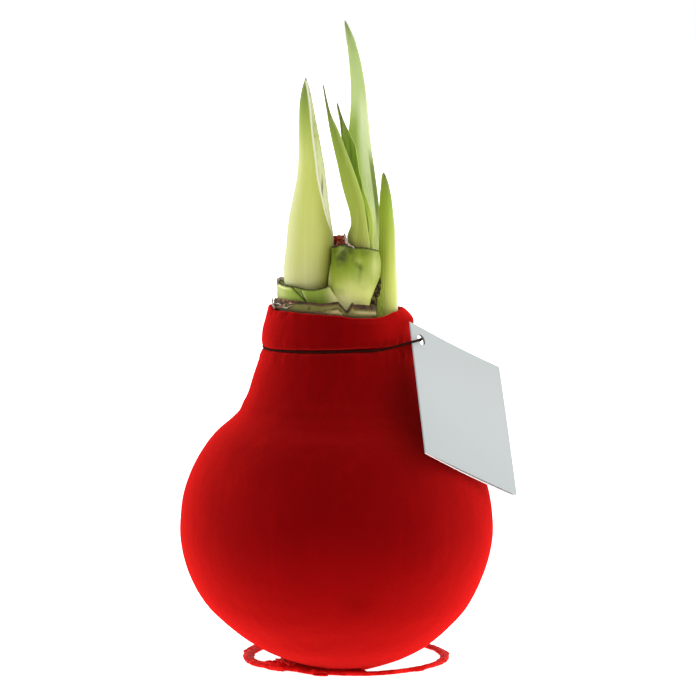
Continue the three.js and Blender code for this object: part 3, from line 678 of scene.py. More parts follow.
def neck_scales(look):
    """the cut ends of the inner scales behind the shoots, as rings round the neck"""
    r, a = np.meshgrid(np.linspace(0.3, 20.5, NECK_STEPS), circle(NECK_AROUND), indexing="ij")
    x, y = r * np.cos(a), r * np.sin(a)
    wobble = 0.28 * lumps(np.stack([6 * np.cos(a), 6 * np.sin(a), r * 0.1], -1), 2.3, 2.2)
    z = np.interp(r + wobble, *np.array(NECK_RINGS, float).T)
    rim = 0.6 * smooth(z, 118.7, 119.6)
    z = z + 0.35 * lumps(np.stack([x, y, 0 * x], -1), 3.2, 6.4)
    z = WELL_FLOOR + 0.1 + (z - WELL_FLOOR) * smooth(outside_room(x, y), 0.05, 0.5)
    rings = np.stack([x, y, z], -1)
    below = rings[[-1, 0]] * (1, 1, 0) + (0, 0, WELL_FLOOR - 1)
    marks = {"rim": np.concatenate([rim, 0 * rim[:2]]), "across": 0, "hollow": 0, "dry": 0}
    skin("neck_scales", np.concatenate([rings, below]), look, ["bulb"], marks)


# ---- leaves
def leaf_piece(name, rows, bow, thickness, look, seed, steps=LEAF_STEPS, groove=0.1,
               wave=0.12):
    """a strap leaf through rows of height, left edge x and y, right edge x and y; a bow hollows its front"""
    v = np.linspace(0, 1, steps + 1)
    v = v + 0.06 * np.sin(math.pi * v) * v
    z = rows[0][0] + (rows[-1][0] - rows[0][0]) * v
    left, right = np.split(stations(rows, z), 2, axis=1)
    v = v[:, None]
    half_span = (right - left) / 2 * np.sqrt(np.clip((1 - v) / 0.012, 0.01, 1))
    width = 2 * np.linalg.norm(half_span, axis=1, keepdims=True)
    normal = unit(np.stack([half_span[:, 1], -half_span[:, 0]], 1))
    u, side = np.cos(circle(LEAF_AROUND)), np.sin(circle(LEAF_AROUND))
    body = 1 - u * u
    thick = np.minimum(0.35 + (thickness - 0.7) / 2 * body, 0.2 + 0.28 * width)
    off = thick * np.sqrt(np.clip(1 - u**6, 0, 1)) * np.sign(side) - bow * width * body
    off -= groove * bump(u, 0, 0.2) * np.where(side > 0, 1, -0.6) * smooth(width, 1, 5)
    off += (wave * lumps_up(z, 9, seed) * smooth(z, SHOOT_FOOT + 2, SHOOT_FOOT + 20))[:, None]
    flat = ((left + right) / 2)[:, None] + half_span[:, None] * u[:, None] + normal[:, None] * off[..., None]
    rings = np.dstack([flat, np.broadcast_to(z[:, None], off.shape)])
    return skin(name + "_fine", rings, look, [name], {"across": u, "along": v, "face": side})


# height, left edge x and y, right edge x and y
LEAF_TALL = [
    (SHOOT_FOOT, 5.9, 3.2, 12.2, 3.2), (125, 5.8, 3.4, 13.4, 3.2), (140, 6, 4, 14.5, 3.2),
    (148, 5.7, 4.2, 14.7, 3.2), (156, 4.9, 4.4, 14, 3.4), (164, 3.9, 4.6, 13, 3.6),
    (175, 3.6, 4.6, 11.5, 3.8), (184, 4.4, 4.4, 10.6, 3.9), (193, 4.7, 4.2, 9.7, 4), (201, 4.2, 4, 8.4, 4),
    (207, 3.6, 4, 6.9, 4), (211.8, 3, 4, 5.1, 4), (216.1, 2.5, 4, 3, 4),
]
LEAF_FRONT = [
    (SHOOT_FOOT, 3, -10.5, 8.6, -10.5), (125, 2.4, -11.5, 9.8, -11.5), (135, 2.8, -12.2, 11.2, -12),
    (141, 4.4, -12.2, 11, -11.6), (143, 3.9, -12, 10.9, -11.4), (145.2, 3.5, -11.8, 10.7, -11.3),
    (147, 4, -11.6, 10.4, -11.1), (148.6, 4.6, -11.4, 10.2, -11), (151, 4.8, -11.3, 9.9, -10.9),
    (153, 4.4, -11.2, 9.6, -10.8), (157, 3.2, -11, 8.9, -10.6), (162, 1.8, -10.8, 7.4, -10.3),
    (168, 0.5, -10.4, 5.3, -10), (173.6, -0.8, -10, 3.1, -9.6), (179.5, -2.1, -9.4, 0.9, -9),
    (185.4, -3.1, -8.8, -1.8, -8.5), (189.6, -3.75, -8.4, -3, -8.2), (195.2, -4.6, -8, -4.2, -7.9),
]
LEAF_INNER = [
    (SHOOT_FOOT, 3.4, -8.4, 9, -8.2), (125, 3, -8.7, 10.4, -8.3), (135, 3.4, -8.8, 11.9, -8.3),
    (143, 4.6, -8.6, 12, -7.9), (148, 4.8, -8.4, 12.3, -7.2), (152.5, 4.4, -8, 11.6, -6.6),
    (157, 3.8, -7.6, 10.1, -6.2), (161, 3.1, -7.2, 8.8, -5.8), (166, 2.7, -7, 7.7, -5.6),
    (171, 2.3, -6.8, 7, -5.4), (175, 1.9, -6.4, 6.2, -5.2), (179.5, 1.4, -6, 4.1, -5),
    (184, 0.9, -5.6, 2, -4.9), (189.1, -0.1, -5.2, 0.35, -5),
]
LEAF_SIDE = [
    (SHOOT_FOOT, 14, -7, 19.4, -2.6), (121, 14.1, -7, 20.3, -2.2), (130, 13.9, -6.9, 20.1, -2.2),
    (138, 14, -6.8, 19.7, -2.2), (147, 14.1, -6.8, 19.2, -2.2), (153, 14.1, -6.6, 18.5, -2.4),
    (158, 14.3, -6.2, 17.8, -2.9), (162.4, 14.8, -5.4, 16.7, -3.5), (166, 15.3, -4.7, 15.7, -4.3),
]
DRIED_TIP = [
    (SHOOT_FOOT, -0.8, -1.4, 1.2, -2.7), (128, -0.8, -1.2, 1.4, -2.7), (135, -0.9, -1.4, 1.8, -3.2),
    (138, -1.9, -3, 3.1, -3), (140.6, -1.7, -2.4, 3.3, -3.6), (142.8, -2.2, -3.2, 3.1, -2.6),
    (144.2, -1.9, -2.6, 2.9, -3), (145, -0.6, -2.6, 2.3, -3),
]
LEAVES = {
    "leaf_tall": (LEAF_TALL, 0.16, 1.8, TALL_PAINT), "leaf_front": (LEAF_FRONT, -0.12, 1.6, FRONT_PAINT),
    "leaf_inner": (LEAF_INNER, 0.15, 1.3, INNER_PAINT), "leaf_side": (LEAF_SIDE, -0.2, 2.6, SIDE_PAINT),
}


def dried_tip(look):
    """the crumpled dry end of a spent leaf, pinched between bud and leaf base"""
    item = leaf_piece("dried_tip", DRIED_TIP, 0.1, 2.4, look, 3, TIP_STEPS, 0, 0)
    points = np.array([v.co for v in item.data.vertices]) / MM
    crumple = np.stack([lumps(points, 1.3, seed, 3) for seed in (2, 5, 8)], 1) * (1.1, 1, 0.9)
    points = points + crumple * smooth(points[:, 2:], 135, 139)
    item.data.vertices.foreach_set("co", (points * MM).astype(np.float32).ravel())
    item.data.update()


# ---- bud
BUD_MIDDLE = -6.0
# height, left x, right x and half depth; under it height and degrees of the seam
BUD = [
    (SHOOT_FOOT, -15.4, -5.4, 4.6), (120, -16.4, -4, 5.4), (127.5, -17.1, -2.7, 6), (133, -17.5, -2, 6.2),
    (139, -17.1, -1.3, 6.1), (145, -16.6, -0.7, 5.9), (151.4, -15.7, -1.5, 5.4), (157.4, -14.5, -2.4, 4.8),
    (163.4, -13.4, -3.2, 4.1), (170, -12.6, -4.1, 3.5), (180, -12.5, -6, 2.6), (188, -12.2, -7.5, 1.9),
    (193.3, -11.5, -8.6, 1.2), (197.1, -10.4, -9.8, 0.3),
]
BUD_SEAM = [
    (SHOOT_FOOT, 34), (130, 26), (139, 10), (145, -14), (149, -32), (158.6, -51), (166, -62), (174, -64),
    (181, -61), (189, -54), (197.1, -54),
]


def flower_bud(look):
    """two valves meet along a seam at the front right; the right one is tucked under with a papery margin"""
    z = np.linspace(SHOOT_FOOT, BUD[-1][0], BUD_STEPS + 1)
    left, right, depth = stations(BUD, z).T[..., None]
    seam = np.radians(stations(BUD_SEAM, z))
    teeth = 0.03 * lumps_up(z, 0.9, 4)[:, None]
    z = z[:, None]
    half = (right - left) / 2
    angle = seam + circle(BUD_AROUND)
    from_seam = signed_apart(angle, seam)
    opened = smooth(z, 136, 152)
    tucked = smooth(from_seam + teeth, 0, 0.07) * smooth(from_seam, 1.7, 0.6)
    dented = 0.1 * bump(signed_apart(angle, seam + math.pi), 0, 0.16) + 0.05 * tucked
    dented += 0.03 * bump(from_seam, 0.07, 0.05) - 0.012 * bump(from_seam, -0.05, 0.08)
    reach = 1 - opened * dented
    x = (left + right) / 2 + half * reach * np.cos(angle)
    y = BUD_MIDDLE + depth * reach * np.sin(angle)
    rings = np.stack(np.broadcast_arrays(x, y, z), -1)
    papery = tucked * smooth(z, 143, 152) * smooth(from_seam, 1.9, 1.5)
    height = 0.16 * lumps(rings, 14, 3) - 0.05 + papery * 0.14 * lumps(rings * (1, 1, 0.5), 1.2, 6)
    rings = puffed(rings, height * smooth(z, 116, 124))
    from_line = (from_seam + teeth) * half
    marks = {
        "along": (z - z[0]) / (z[-1] - z[0]), "across": from_seam, "papery": papery, "side": np.cos(angle),
        "edge": smooth(from_line, -0.8, -0.5) * smooth(from_line, 0.2, 0) * opened,
        # painted shade in the tucked fold beside the seam
        "hollow": 0.85 * papery * near(rings, (-4.7, -9.2, 161.5), (0.28, 5, 3.4)),
    }
    skin("flower_bud_fine", rings, look, ["flower_bud"], marks)


# ---- cut leaf bases
SHEATH_MIDDLE = -9.4
SHEATH_WALL = 0.9
SHEATH = [
    (SHOOT_FOOT, 1, 10, 5), (118, 0.4, 10.5, 5.5), (123.5, -0.8, 11.3, 6.1), (128.5, -2.8, 13, 6.8),
    (131.8, -2.7, 14.2, 7), (136.5, -2, 14.7, 6.9), (139, -1.9, 14.5, 6.7), (142, -1.9, 13.9, 6.3),
]
SHEATH_LIP = np.array([(0.994, 0.05), (0.9985, 0.18), (1, 0.42), (0.9985, 0.72), (0.99, 0.88)])
# places of x and z in the front view
SHEATH_CREASE = [(5.4, 138.5), (8.3, 135.8)]
SHEATH_FOLD = [(8, 135.8), (7.4, 129)]
SHEATH_RIDGES = [[(3.6, 143), (5.6, 141.8)], [(3.6, 143), (0, 139.6)]]
# soft spots: strength, place and size. The patches are painted shade in the dent at the upper left; the dark
# spots only darken the green
SHEATH_PATCHES = [(0.9, (1.6, -15.5, 138.6), (3.6, 9, 2.7)), (0.7, (3.8, -15.5, 141.3), (2.4, 9, 1.4))]
SHEATH_DARK_SPOTS = [(0.5, (9, -15, 140.4), (3.2, 9, 1.8)), (0.3, (1.5, -15, 136), (2.6, 9, 3.4))]
SHEATH_PALE = [
    # the first pale spot is a painted highlight on the crease; the others make the lower part and the sides
    # paler
    (0.1, (7.3, -15, 137.6), (1.5, 9, 0.9)), (0.25, (12.6, -13, 136), (1.6, 9, 4)),
    (0.16, (9.4, -15, 129), (3.2, 9, 6)), (1.1, (1.8, -15, 122.6), (4.6, 9, 3.6)),
    (0.14, (4.5, -15, 129.5), (3, 9, 3)), (0.4, (-2.6, -10, 132), (0.7, 9, 6)),
]


def leaf_sheath(look):
    """the tall cut leaf base that holds the front leaves, crumpled, with a dry brown rim"""
    heights, lining = np.linspace(0, 0.985, 90), np.linspace(0.97, 0, 40)
    lip, lip_inset = SHEATH_LIP.T
    rise = np.concatenate([heights, lip, lining])[:, None]
    inset = np.concatenate([0 * heights, lip_inset, 0 * lining + SHEATH_WALL])[:, None]
    rim = np.concatenate([smooth(heights, 0.975, 0.99), 0 * lip + 1, 0.5 * smooth(lining, 0.95, 0.99)])
    rim = rim[:, None]
    outer = 1.0 * (np.arange(len(rise)) < len(heights) + len(lip))[:, None]
    angle = circle(SHEATH_AROUND)
    z = SHEATH[0][0] + (SHEATH[-1][0] - SHEATH[0][0]) * rise
    left, right, depth = stations(SHEATH, z[:, 0]).T[..., None]
    x = (left + right) / 2 + ((right - left) / 2 - inset) * np.cos(angle)
    y = SHEATH_MIDDLE + (depth - inset) * np.sin(angle)
    z = z - 1.3 * (rise**3 * toward(angle, -10, 40) + rise**6 * smooth(np.sin(angle), -0.2, 0.5))
    z = z + rise**6 * 0.9 * toward(angle, -126, 10)
    rings = np.stack([x, y, z], -1)
    front = (y < SHEATH_MIDDLE + 1) * outer * smooth(z, 121, 126)
    patch = np.clip(spots(rings, SHEATH_PATCHES) * (0.85 + 0.45 * lumps(rings, 2, 6.6)), 0, 1)
    crease = bump(near_line(x, z, *SHEATH_CREASE), 0, 1)
    drop = bump(near_line(x, z + 0.8, *SHEATH_CREASE), 0, 0.8)
    fold = near_line(x, z, *SHEATH_FOLD)
    ridge = np.minimum(*(near_line(x, z, *line) for line in SHEATH_RIDGES))
    ridge = bump(ridge, 0, 0.4) * near(rings, (3.6, -15, 143), (4, 9, 4))
    shift = front * (
        0.2 * lumps(rings, 5, 2.7) + 0.06 * lumps(rings, 1.8, 5.1) - 0.35 * patch
        + 0.15 * crease - 0.25 * drop - 0.15 * bump(fold, 0, 1.3) + 0.15 * ridge
    ) - 0.1 * outer
    rings = rings + np.stack([np.cos(angle), np.sin(angle), 0 * angle], -1) * shift[..., None]
    rings[..., 2] += rim * (0.22 * lumps(rings, 1.6, 4.4) + 0.9 * near(rings, (3.4, -15, 142), (1.1, 4, 9)))
    soft = 0.75 + 0.5 * lumps(rings, 1.6, 9.1)
    # painted shade: the dented patch, under the crease and along the fold, with darker spots and one more
    # dark spot at the top left
    sheath_shade = 0.95 * patch + soft * (spots(rings, SHEATH_DARK_SPOTS) + 0.5 * drop)
    sheath_shade += 0.3 * bump(fold, 0, 0.7) * smooth(z, 128, 133)
    sheath_shade += 0.5 * near(rings, (-0.9, -15, 141), (1.2, 9, 1.6))
    marks = {
        "along": rise, "rim": rim, "across": angle * 1.2, "hollow": np.clip(front * sheath_shade, 0, 1),
        "pale": np.clip(outer * spots(rings, SHEATH_PALE), 0, 1),
        "dry": np.clip(ridge * front * 0.3 * soft, 0, 1),
    }
    skin("leaf_sheath_fine", rings, look, ["leaf_sheath"], marks, loops=True)


COLLAR_WALL = 0.9
COLLAR_ROUTE = [
    (2.4, -14.1), (-0.4, -13.5), (-3.2, -14.6), (-7.8, -15.3), (-12.6, -14.2), (-17, -10.6), (-19.3, -5),
    (-19.6, 0), (-16.2, 3.4), (-11, 4.4), (-6.5, 3.4),
]
# share of the way along the band and height
COLLAR_EDGE = [
    (0, 122.8), (0.05, 124.2), (0.1, 125.9), (0.14, 127.7), (0.165, 128.9), (0.19, 129), (0.25, 128.3),
    (0.32, 128), (0.42, 128.8), (0.55, 129.4), (0.66, 130), (0.85, 129.4), (1, 128),
]
COLLAR_SLIT = np.array([(-15.3, 129.2), (-9.8, 123.7)])
COLLAR_TEAR = [(-11.7, 127.5), (-10.1, 124)]


def bud_collar(look):
    """the low cut leaf base that hugs the bud: an open band with a slit, pressed against the outer scale"""
    t = np.linspace(0, 1, COLLAR_COLUMNS)
    route = spline(COLLAR_ROUTE, t)
    outward = beside(route)[:, None]
    top, t = stations(COLLAR_EDGE, t), t[:, None]
    level, through = np.array([
        *((v, 0) for v in np.linspace(0, 0.97, COLLAR_OUTER)), (0.988, 0.08), (0.997, 0.25), (1, 0.5),
        (0.997, 0.75), (0.985, 0.92), *((v, 1) for v in np.linspace(0.96, 0, COLLAR_INNER)),
    ]).T[:, None]
    z = SHOOT_FOOT + (top - SHOOT_FOOT) * level
    room = (NECK - SCALE_WALL - GAP) / np.linalg.norm(route, axis=1, keepdims=True)
    press = 1 + (np.minimum(1, room) - 1) * smooth(125.5 - z, 0, 2)
    wall = COLLAR_WALL * (0.15 + 0.85 * smooth(t, 0, 0.1))
    rings = np.dstack([route[:, None] * press[..., None] - outward * (wall * through)[..., None], z])
    x, y, z = rings.transpose(2, 0, 1)
    outer = (through < 0.6) * smooth(z, 119, 123)
    front = outer * (y < -9)
    slit, tear = near_line(x, z, *COLLAR_SLIT), near_line(x, z, *COLLAR_TEAR)
    (x0, z0), (run, rise) = COLLAR_SLIT[0], COLLAR_SLIT[1] - COLLAR_SLIT[0]
    side = ((x - x0) * rise - (z - z0) * run) / math.hypot(run, rise)
    flap = smooth(side, 0, 0.5) * smooth(slit, 5, 1)
    shift = outer * (0.14 * lumps(rings, 4, 1.9) - 0.05)
    shift += front * (0.3 * flap - 0.35 * bump(slit, 0, 0.3) - 0.2 * bump(tear, 0, 0.25))
    rings[..., :2] += outward * shift[..., None]
    rings[..., 2] += smooth(level, 0.9, 1) * 0.16 * lumps(rings, 1.3, 7.2)
    pale = np.maximum(0.9 - 0.9 * smooth(t, 0.08, 0.24), 0.22 * near(rings, (-18.6, -7, 126), (3, 9, 5)))
    # painted shade in the slit and the tear; the hollow mark also darkens one spot beside them
    gaps = np.maximum(bump(slit, 0, 0.24), 0.9 * bump(tear, 0, 0.2))
    marks = {
        "along": level, "rim": smooth(level, 0.955, 0.985) * smooth(t, 0.15, 0.18), "across": t * 9,
        "pale": outer * pale + 0.5 * bump(level, 0.935, 0.02) * smooth(t, 0.42, 0.5),
        "hollow": front * np.maximum(gaps, 0.5 * near(rings, (-12.4, -14.5, 127.2), (1.2, 9, 1.2))),
        "dry": front * 0.4 * bump(near_line(x - 0.5, z, *COLLAR_TEAR), 0, 0.2),
    }
    skin("bud_collar_fine", rings, look, ["bud_collar"], marks)


# ---- dry scraps at the neck
def round_neck(*places):
    """a route by degrees round the neck, distance from its axis and height"""
    angle, radius, z = np.array(places).T
    return np.stack([radius * np.cos(np.radians(angle)), radius * np.sin(np.radians(angle)), z], 1)


SCRAPS = {
    "scrap_curl": ("papery", 0.5, (0, -1, 0.2), [
        (-19.3, -5, 128.6), (-19.5, -4.4, 130), (-18.7, -4, 130.9), (-17.8, -4.2, 130.5),
        (-17.2, -4.8, 129.1)]),
    "scrap_strip": ("papery", 0.45, (-1, -0.6, 0.5), round_neck(
        (-174, 21.2, 125), (-167, 21.9, 123.2), (-157, 22.3, 121.2))),
    "scrap_edge": ("bark", 0.28, (-1, -1, 0.3), round_neck(
        (-172, 20.9, 123.8), (-160, 21.1, 124.3), (-140, 21, 124.1), (-124, 20.9, 124.3))),
    "scrap_fray": ("papery", 0.4, (-1, -1, 0.6), round_neck(
        (-166, 21.4, 122.5), (-152, 21.6, 122.9), (-143, 21.3, 121.9), (-133, 21.3, 122.8))),
    "scrap_thread": ("bark", 0.3, (-1, -1, 0.4), round_neck(
        (-163, 21.9, 121.6), (-150, 21.9, 121.9), (-138, 21.4, 123.4), (-130, 21.2, 123.6))),
    "scrap_husk": ("husk", 1.25, (0.3, -1, 0.1), [
        (11.4, -9.4, 114), (11.9, -9.4, 121.5), (12.7, -9, 125), (13.8, -8.4, 128.4), (14.3, -8, 131.4)]),
    "scrap_ridge": ("papery", 0.55, (-0.2, -1, 0.3), [
        (2.6, -13.2, 146.4), (3, -14.2, 144.8), (3.5, -15.4, 143.2), (4.5, -16, 142.5),
        (5.8, -16.3, 141.7)]),
    "scrap_heel": ("base", 1.1, (0.2, -1, 0.1), [
        (13.9, -8.8, 114), (14.2, -8.8, 119), (14.5, -8.4, 124), (14.5, -7.9, 129)]),
}
SCRAP_THICKNESS = 0.16


def scraps(looks):
    """torn and curled strips of dead scale round the cut neck, by look, half width, facing and route"""
    turn = circle(SCRAP_AROUND)
    t = np.clip(np.linspace(0, 1, SCRAP_STEPS + 1), 0.02, 0.98)
    taper = (0.25 + 0.75 * np.sin(math.pi * t) ** 0.5)[:, None]
    for number, (name, (kind, half_wide, facing, route)) in enumerate(SCRAPS.items(), 1):
        centres = even_spline(route, SCRAP_STEPS)
        along = unit(np.gradient(centres, axis=0))
        across = unit(np.cross(along, facing))
        wide = half_wide * taper * (1 + 0.35 * lumps(centres, 1.5, number))[:, None]
        flat = (centres[:, None] + across[:, None] * (np.cos(turn) * wide)[..., None]
                + np.cross(across, along)[:, None] * (np.sin(turn) * SCRAP_THICKNESS * taper)[..., None])
        crumple = np.stack([lumps(flat, 1.4, number + share, 2) for share in (0.1, 0.4, 0.7)], -1)
        skin(name, flat + 0.3 * crumple, looks[kind], [], {"across": np.cos(turn), "along": 0.6})


# ---- wire stand
STAND_UPRIGHT = [(5.5, 12, 14), (5.3, 12.8, 9), (4.3, 14.8, 4.4), (1.2, 18.2, 1.6)]
STAND_INNER = [
    (-4.5, 20.6), (-11.5, 18.8), (-17.2, 12.5), (-18.2, 4), (-15.5, -4.8), (-10.3, -11.8), (-4.4, -16.1),
    (2, -18.1), (9, -18.5), (16, -16.8),
]


def wire_stand(look):
    """out of the bulb's underside, once round under it, then the wide ring, under a lumpy coat of wax"""
    turn = np.radians(np.arange(-52, 249, 15))
    depth = np.where(np.sin(turn) < 0, STAND_FRONT_RADIUS, STAND_BACK_RADIUS)
    ring = np.stack([STAND_RADIUS * np.cos(turn), depth * np.sin(turn)], 1) + STAND_CENTRE
    level = np.insert(np.concatenate([STAND_INNER, ring]), 2, WIRE_RADIUS, axis=1)
    t = np.linspace(0, 1, WIRE_STEPS + 1)
    centres = spline(np.concatenate([STAND_UPRIGHT, level]), t)
    t = t[:, None]
    on_ring, near_end = smooth(t, 0.36, 0.5), smooth(t, 0.8, 0.9)
    centres[:, 2] += on_ring[:, 0] * 0.7 * near(centres, (-17, -12, WIRE_RADIUS), (9, 9, 9))
    sides = smooth(np.abs(centres[:, :1] - STAND_CENTRE[0]), 20, 31) * on_ring
    probe = tube_rings(centres, 1, 1, WIRE_AROUND)
    rough = 0.22 * lumps(probe, 2.2, 1.1) + 0.12 * lumps(probe, 0.9, 4)
    gather = 0.4 * np.maximum(0, lumps(centres, 5, 6))[:, None]
    upper = np.sin(circle(WIRE_AROUND)) > 0
    waxed = 0.45 + 0.55 * on_ring
    width = WIRE_RADIUS + 0.15 * on_ring + 0.55 * sides + 0.35 * near_end + waxed * (rough + gather)
    lift = upper * (0.1 * on_ring + 0.15 * near_end + waxed * 0.35 * gather)
    height = WIRE_RADIUS + lift + waxed * rough * 0.6 - 0.02
    rings = tube_rings(centres, width, height, WIRE_AROUND)
    rings[..., 2] = np.maximum(rings[..., 2], 0)
    skin("wire_stand_fine", rings, look, ["wire_stand"])


WAX_DROPS = [
    ((-7.6, -15.9, 0.9), (6, -3.4), (5.6, 1.3, 1)),
    ((-5.2, -18.6, 0.35), (1, -0.2), (2.6, 0.9, 0.45)),
    ((-12, -4, 1), (1, -1.2), (12.5, 3.2, 1.3)),
    ((3, -13.8, 0.8), (1, -0.15), (7, 2.6, 0.9)),
    ((14.5, -16.6, 0.5), (1, 0.3), (3.4, 1.2, 0.6)),
    ((27.5, -9.5, 0.5), (1, 0.75), (3, 1.3, 0.6)),
    ((-20.6, -8.9, 1.6), (1, -0.95), (6.5, 1.1, 1.7)),
    ((-28.2, 27, 0.8), (0.3, 1), (10, 2.6, 0.9)),
    ((36, 22, 0.7), (-0.35, 1), (6, 1.4, 0.8)),
]


def wax_drops(look):
    """low drops of wax that run off the wire and bridge its turns, by place, direction and half lengths"""
    lat, lon = np.radians(np.linspace(-88, 88, DROP_STEPS))[:, None], circle(DROP_AROUND)
    ball = np.broadcast_arrays(np.cos(lat) * np.cos(lon), np.cos(lat) * np.sin(lon), np.sin(lat))
    ball = np.stack(ball, -1)
    for number, (place, (x, y), half) in enumerate(WAX_DROPS, 1):
        swell = 1 + 0.22 * lumps(ball * half * 2, 2.2, number)
        axes = np.array([(x, y, 0), (-y, x, 0), (0, 0, math.hypot(x, y))]) / math.hypot(x, y)
        rings = place + (ball * swell[..., None] * half) @ axes
        rings[..., 2] = np.maximum(rings[..., 2], 0.02)
        skin(f"wire_drop_{number}", rings, look, ["wire_stand"])


def waxy_red():
    # the pale pink specks in the red are painted glints
    paint = coated((186, 10, 10), ((226, 30, 24), ((260, 3), 0.35, 0.7)),
                   ((250, 150, 120), ((1100, 2), 0.66, 0.76, 0, 0.6)))
    look = Look("waxed_wire", paint, Roughness=0.5, Specular_IOR_Level=0.02, Subsurface_Weight=0.15,
                Subsurface_Radius=(1, 0.15, 0.1), Subsurface_Scale=0.002)
    return look.rough((look.guide((900, 3)), 0.0003))


# ---- swing tag and cord
ACROSS = unit(CARD_TOP_EDGE)
FRONT = unit(np.cross(CARD_LEFT_EDGE, ACROSS))
DOWN = np.cross(ACROSS, FRONT)
CARD_SHORTER = 0.983
SHEET = 0.25
CREASE_REACH = 3.5
FOLD_DEPTH = 0.5
HOLE_FRAME = 3.2


def on_tag(right, below, proud):
    """points of the tag: to the right along its top, down its fold, and out of its front face"""
    right, below, proud = (n[..., None] for n in np.broadcast_arrays(right, below, proud))
    u, v = right / CARD_SIZE, below / CARD_SIZE
    back = 0.1 - np.sin(math.pi * np.clip(u, 0, 1)) * (0.6 - 0.05 * v)
    flare = np.concatenate([0.45 + 0.6 * u * v, 0 * u, back], -1)
    return CARD_CORNER + ACROSS * right + DOWN * below * CARD_SHORTER + FRONT * proud + flare


def card_bend(x, y):
    """the card's slight curve: it bows out a little in the middle and lifts at its free lower corner"""
    u, v = x / CARD_SIZE, y / CARD_SIZE
    return 0.45 * np.sin(math.pi * u) * (0.35 + 0.65 * v) - 0.5 * u * u * v * v


def card_leaf(name, look, depth_at, cut=0.25, white=0.5, longer=0):
    """one leaf of the folded card, white at its cut sides, with a punched hole that the grid bends round"""
    hole, faces, places = CARD_HOLE_INSET, [], {}

    def point(right, below):
        return places.setdefault((round(right, 4), round(below, 4)), (len(places), right, below))[0]

    frame_lines = (hole - HOLE_FRAME, hole + HOLE_FRAME, cut, CARD_SIZE - cut)
    lines = np.append(np.linspace(0, CARD_SIZE, CARD_LINES), frame_lines)
    lines = np.unique(lines[np.abs(lines - hole) >= HOLE_FRAME - TOUCH])
    spans = list(zip(lines, lines[1:]))
    for x0, x1 in spans:
        for y0, y1 in spans:
            if not (x0 < hole < x1 and y0 < hole < y1):
                faces.append((point(x0, y0), point(x1, y0), point(x1, y1), point(x0, y1)))
    turn = circle(HOLE_SIDES) - math.pi / 4 * 3
    way = np.stack([np.cos(turn), np.sin(turn)], 1)
    square = hole + HOLE_FRAME * way / np.abs(way).max(1, keepdims=True)
    edge = hole + CARD_HOLE_RADIUS * way
    rounds = [[point(*at) for at in square + (edge - square) * share] for share in (0, 0.45, 0.8, 1)]
    for outer, inner in zip(rounds, rounds[1:]):
        faces += zip(outer, outer[1:] + outer[:1], inner[1:] + inner[:1], inner)
    edges = dict.fromkeys(pair for f in faces for pair in zip(f, f[1:] + f[:1]))
    _, x, y = np.array(list(places.values())).T
    to_side = np.min([CARD_SIZE - x, y, CARD_SIZE - y], 0)
    along = y / CARD_SIZE
    y = y + longer * np.sin(math.pi * x / CARD_SIZE) * along**6
    depth, count = depth_at(x, y), len(x)
    solid = [f[::-1] for f in faces] + [tuple(i + count for i in f) for f in faces]
    solid += [(a, b, b + count, a + count) for a, b in edges if (b, a) not in edges]
    points = np.concatenate([on_tag(x, y, depth), on_tag(x, y, depth - SHEET)])
    marks = {"along": np.tile(along, 2), "edge": np.tile(white * (to_side < TOUCH), 2)}
    make_piece(name, points, solid, look, ["tag"], marks, sharp=40)


def swing_tag(look):
    """two thin leaves that meet in a crease at the left and stand a little apart at the right"""
    def pinch(x):
        return np.exp(-(x / CREASE_REACH) ** 2)

    def front_depth(x, y):
        return card_bend(x, y) - 0.05 - (FOLD_DEPTH - SHEET - 0.05) * pinch(x)

    def back_depth(x, y):
        apart = 0.55 + 0.4 * x / CARD_SIZE
        return card_bend(x, y) - apart + (apart - FOLD_DEPTH) * pinch(x)

    card_leaf("tag_front", look, front_depth)
    card_leaf("tag_back", look, back_depth, cut=0.9, white=1, longer=0.35)
    turn = np.linspace(0.5 * math.pi, 1.5 * math.pi, FOLD_AROUND)
    down = np.linspace(0, CARD_SIZE, FOLD_STEPS + 1)[:, None]
    rings = on_tag(0.16 + 0.3 * np.cos(turn), down, card_bend(0, down) - FOLD_DEPTH + SHEET * np.sin(turn))
    skin("tag_fold", rings, look, ["tag"], {"along": down / CARD_SIZE}, sharp=60)


def silver_card():
    fibre = (2200, 4)
    paint = coated(
        up_leaf((0, 148, 153, 152), (0.45, 155, 159, 159), (1, 146, 152, 152)),
        ((163, 167, 168), (fibre, 0.3, 0.7, 0, 0.12)), ((244, 232, 230), ("edge", 0.4, 0.9)),
    )
    look = Look("silver_card", paint, Roughness=0.5, Metallic=0.1, Specular_IOR_Level=0.3)
    return look.rough((look.guide(fibre), 0.00002))


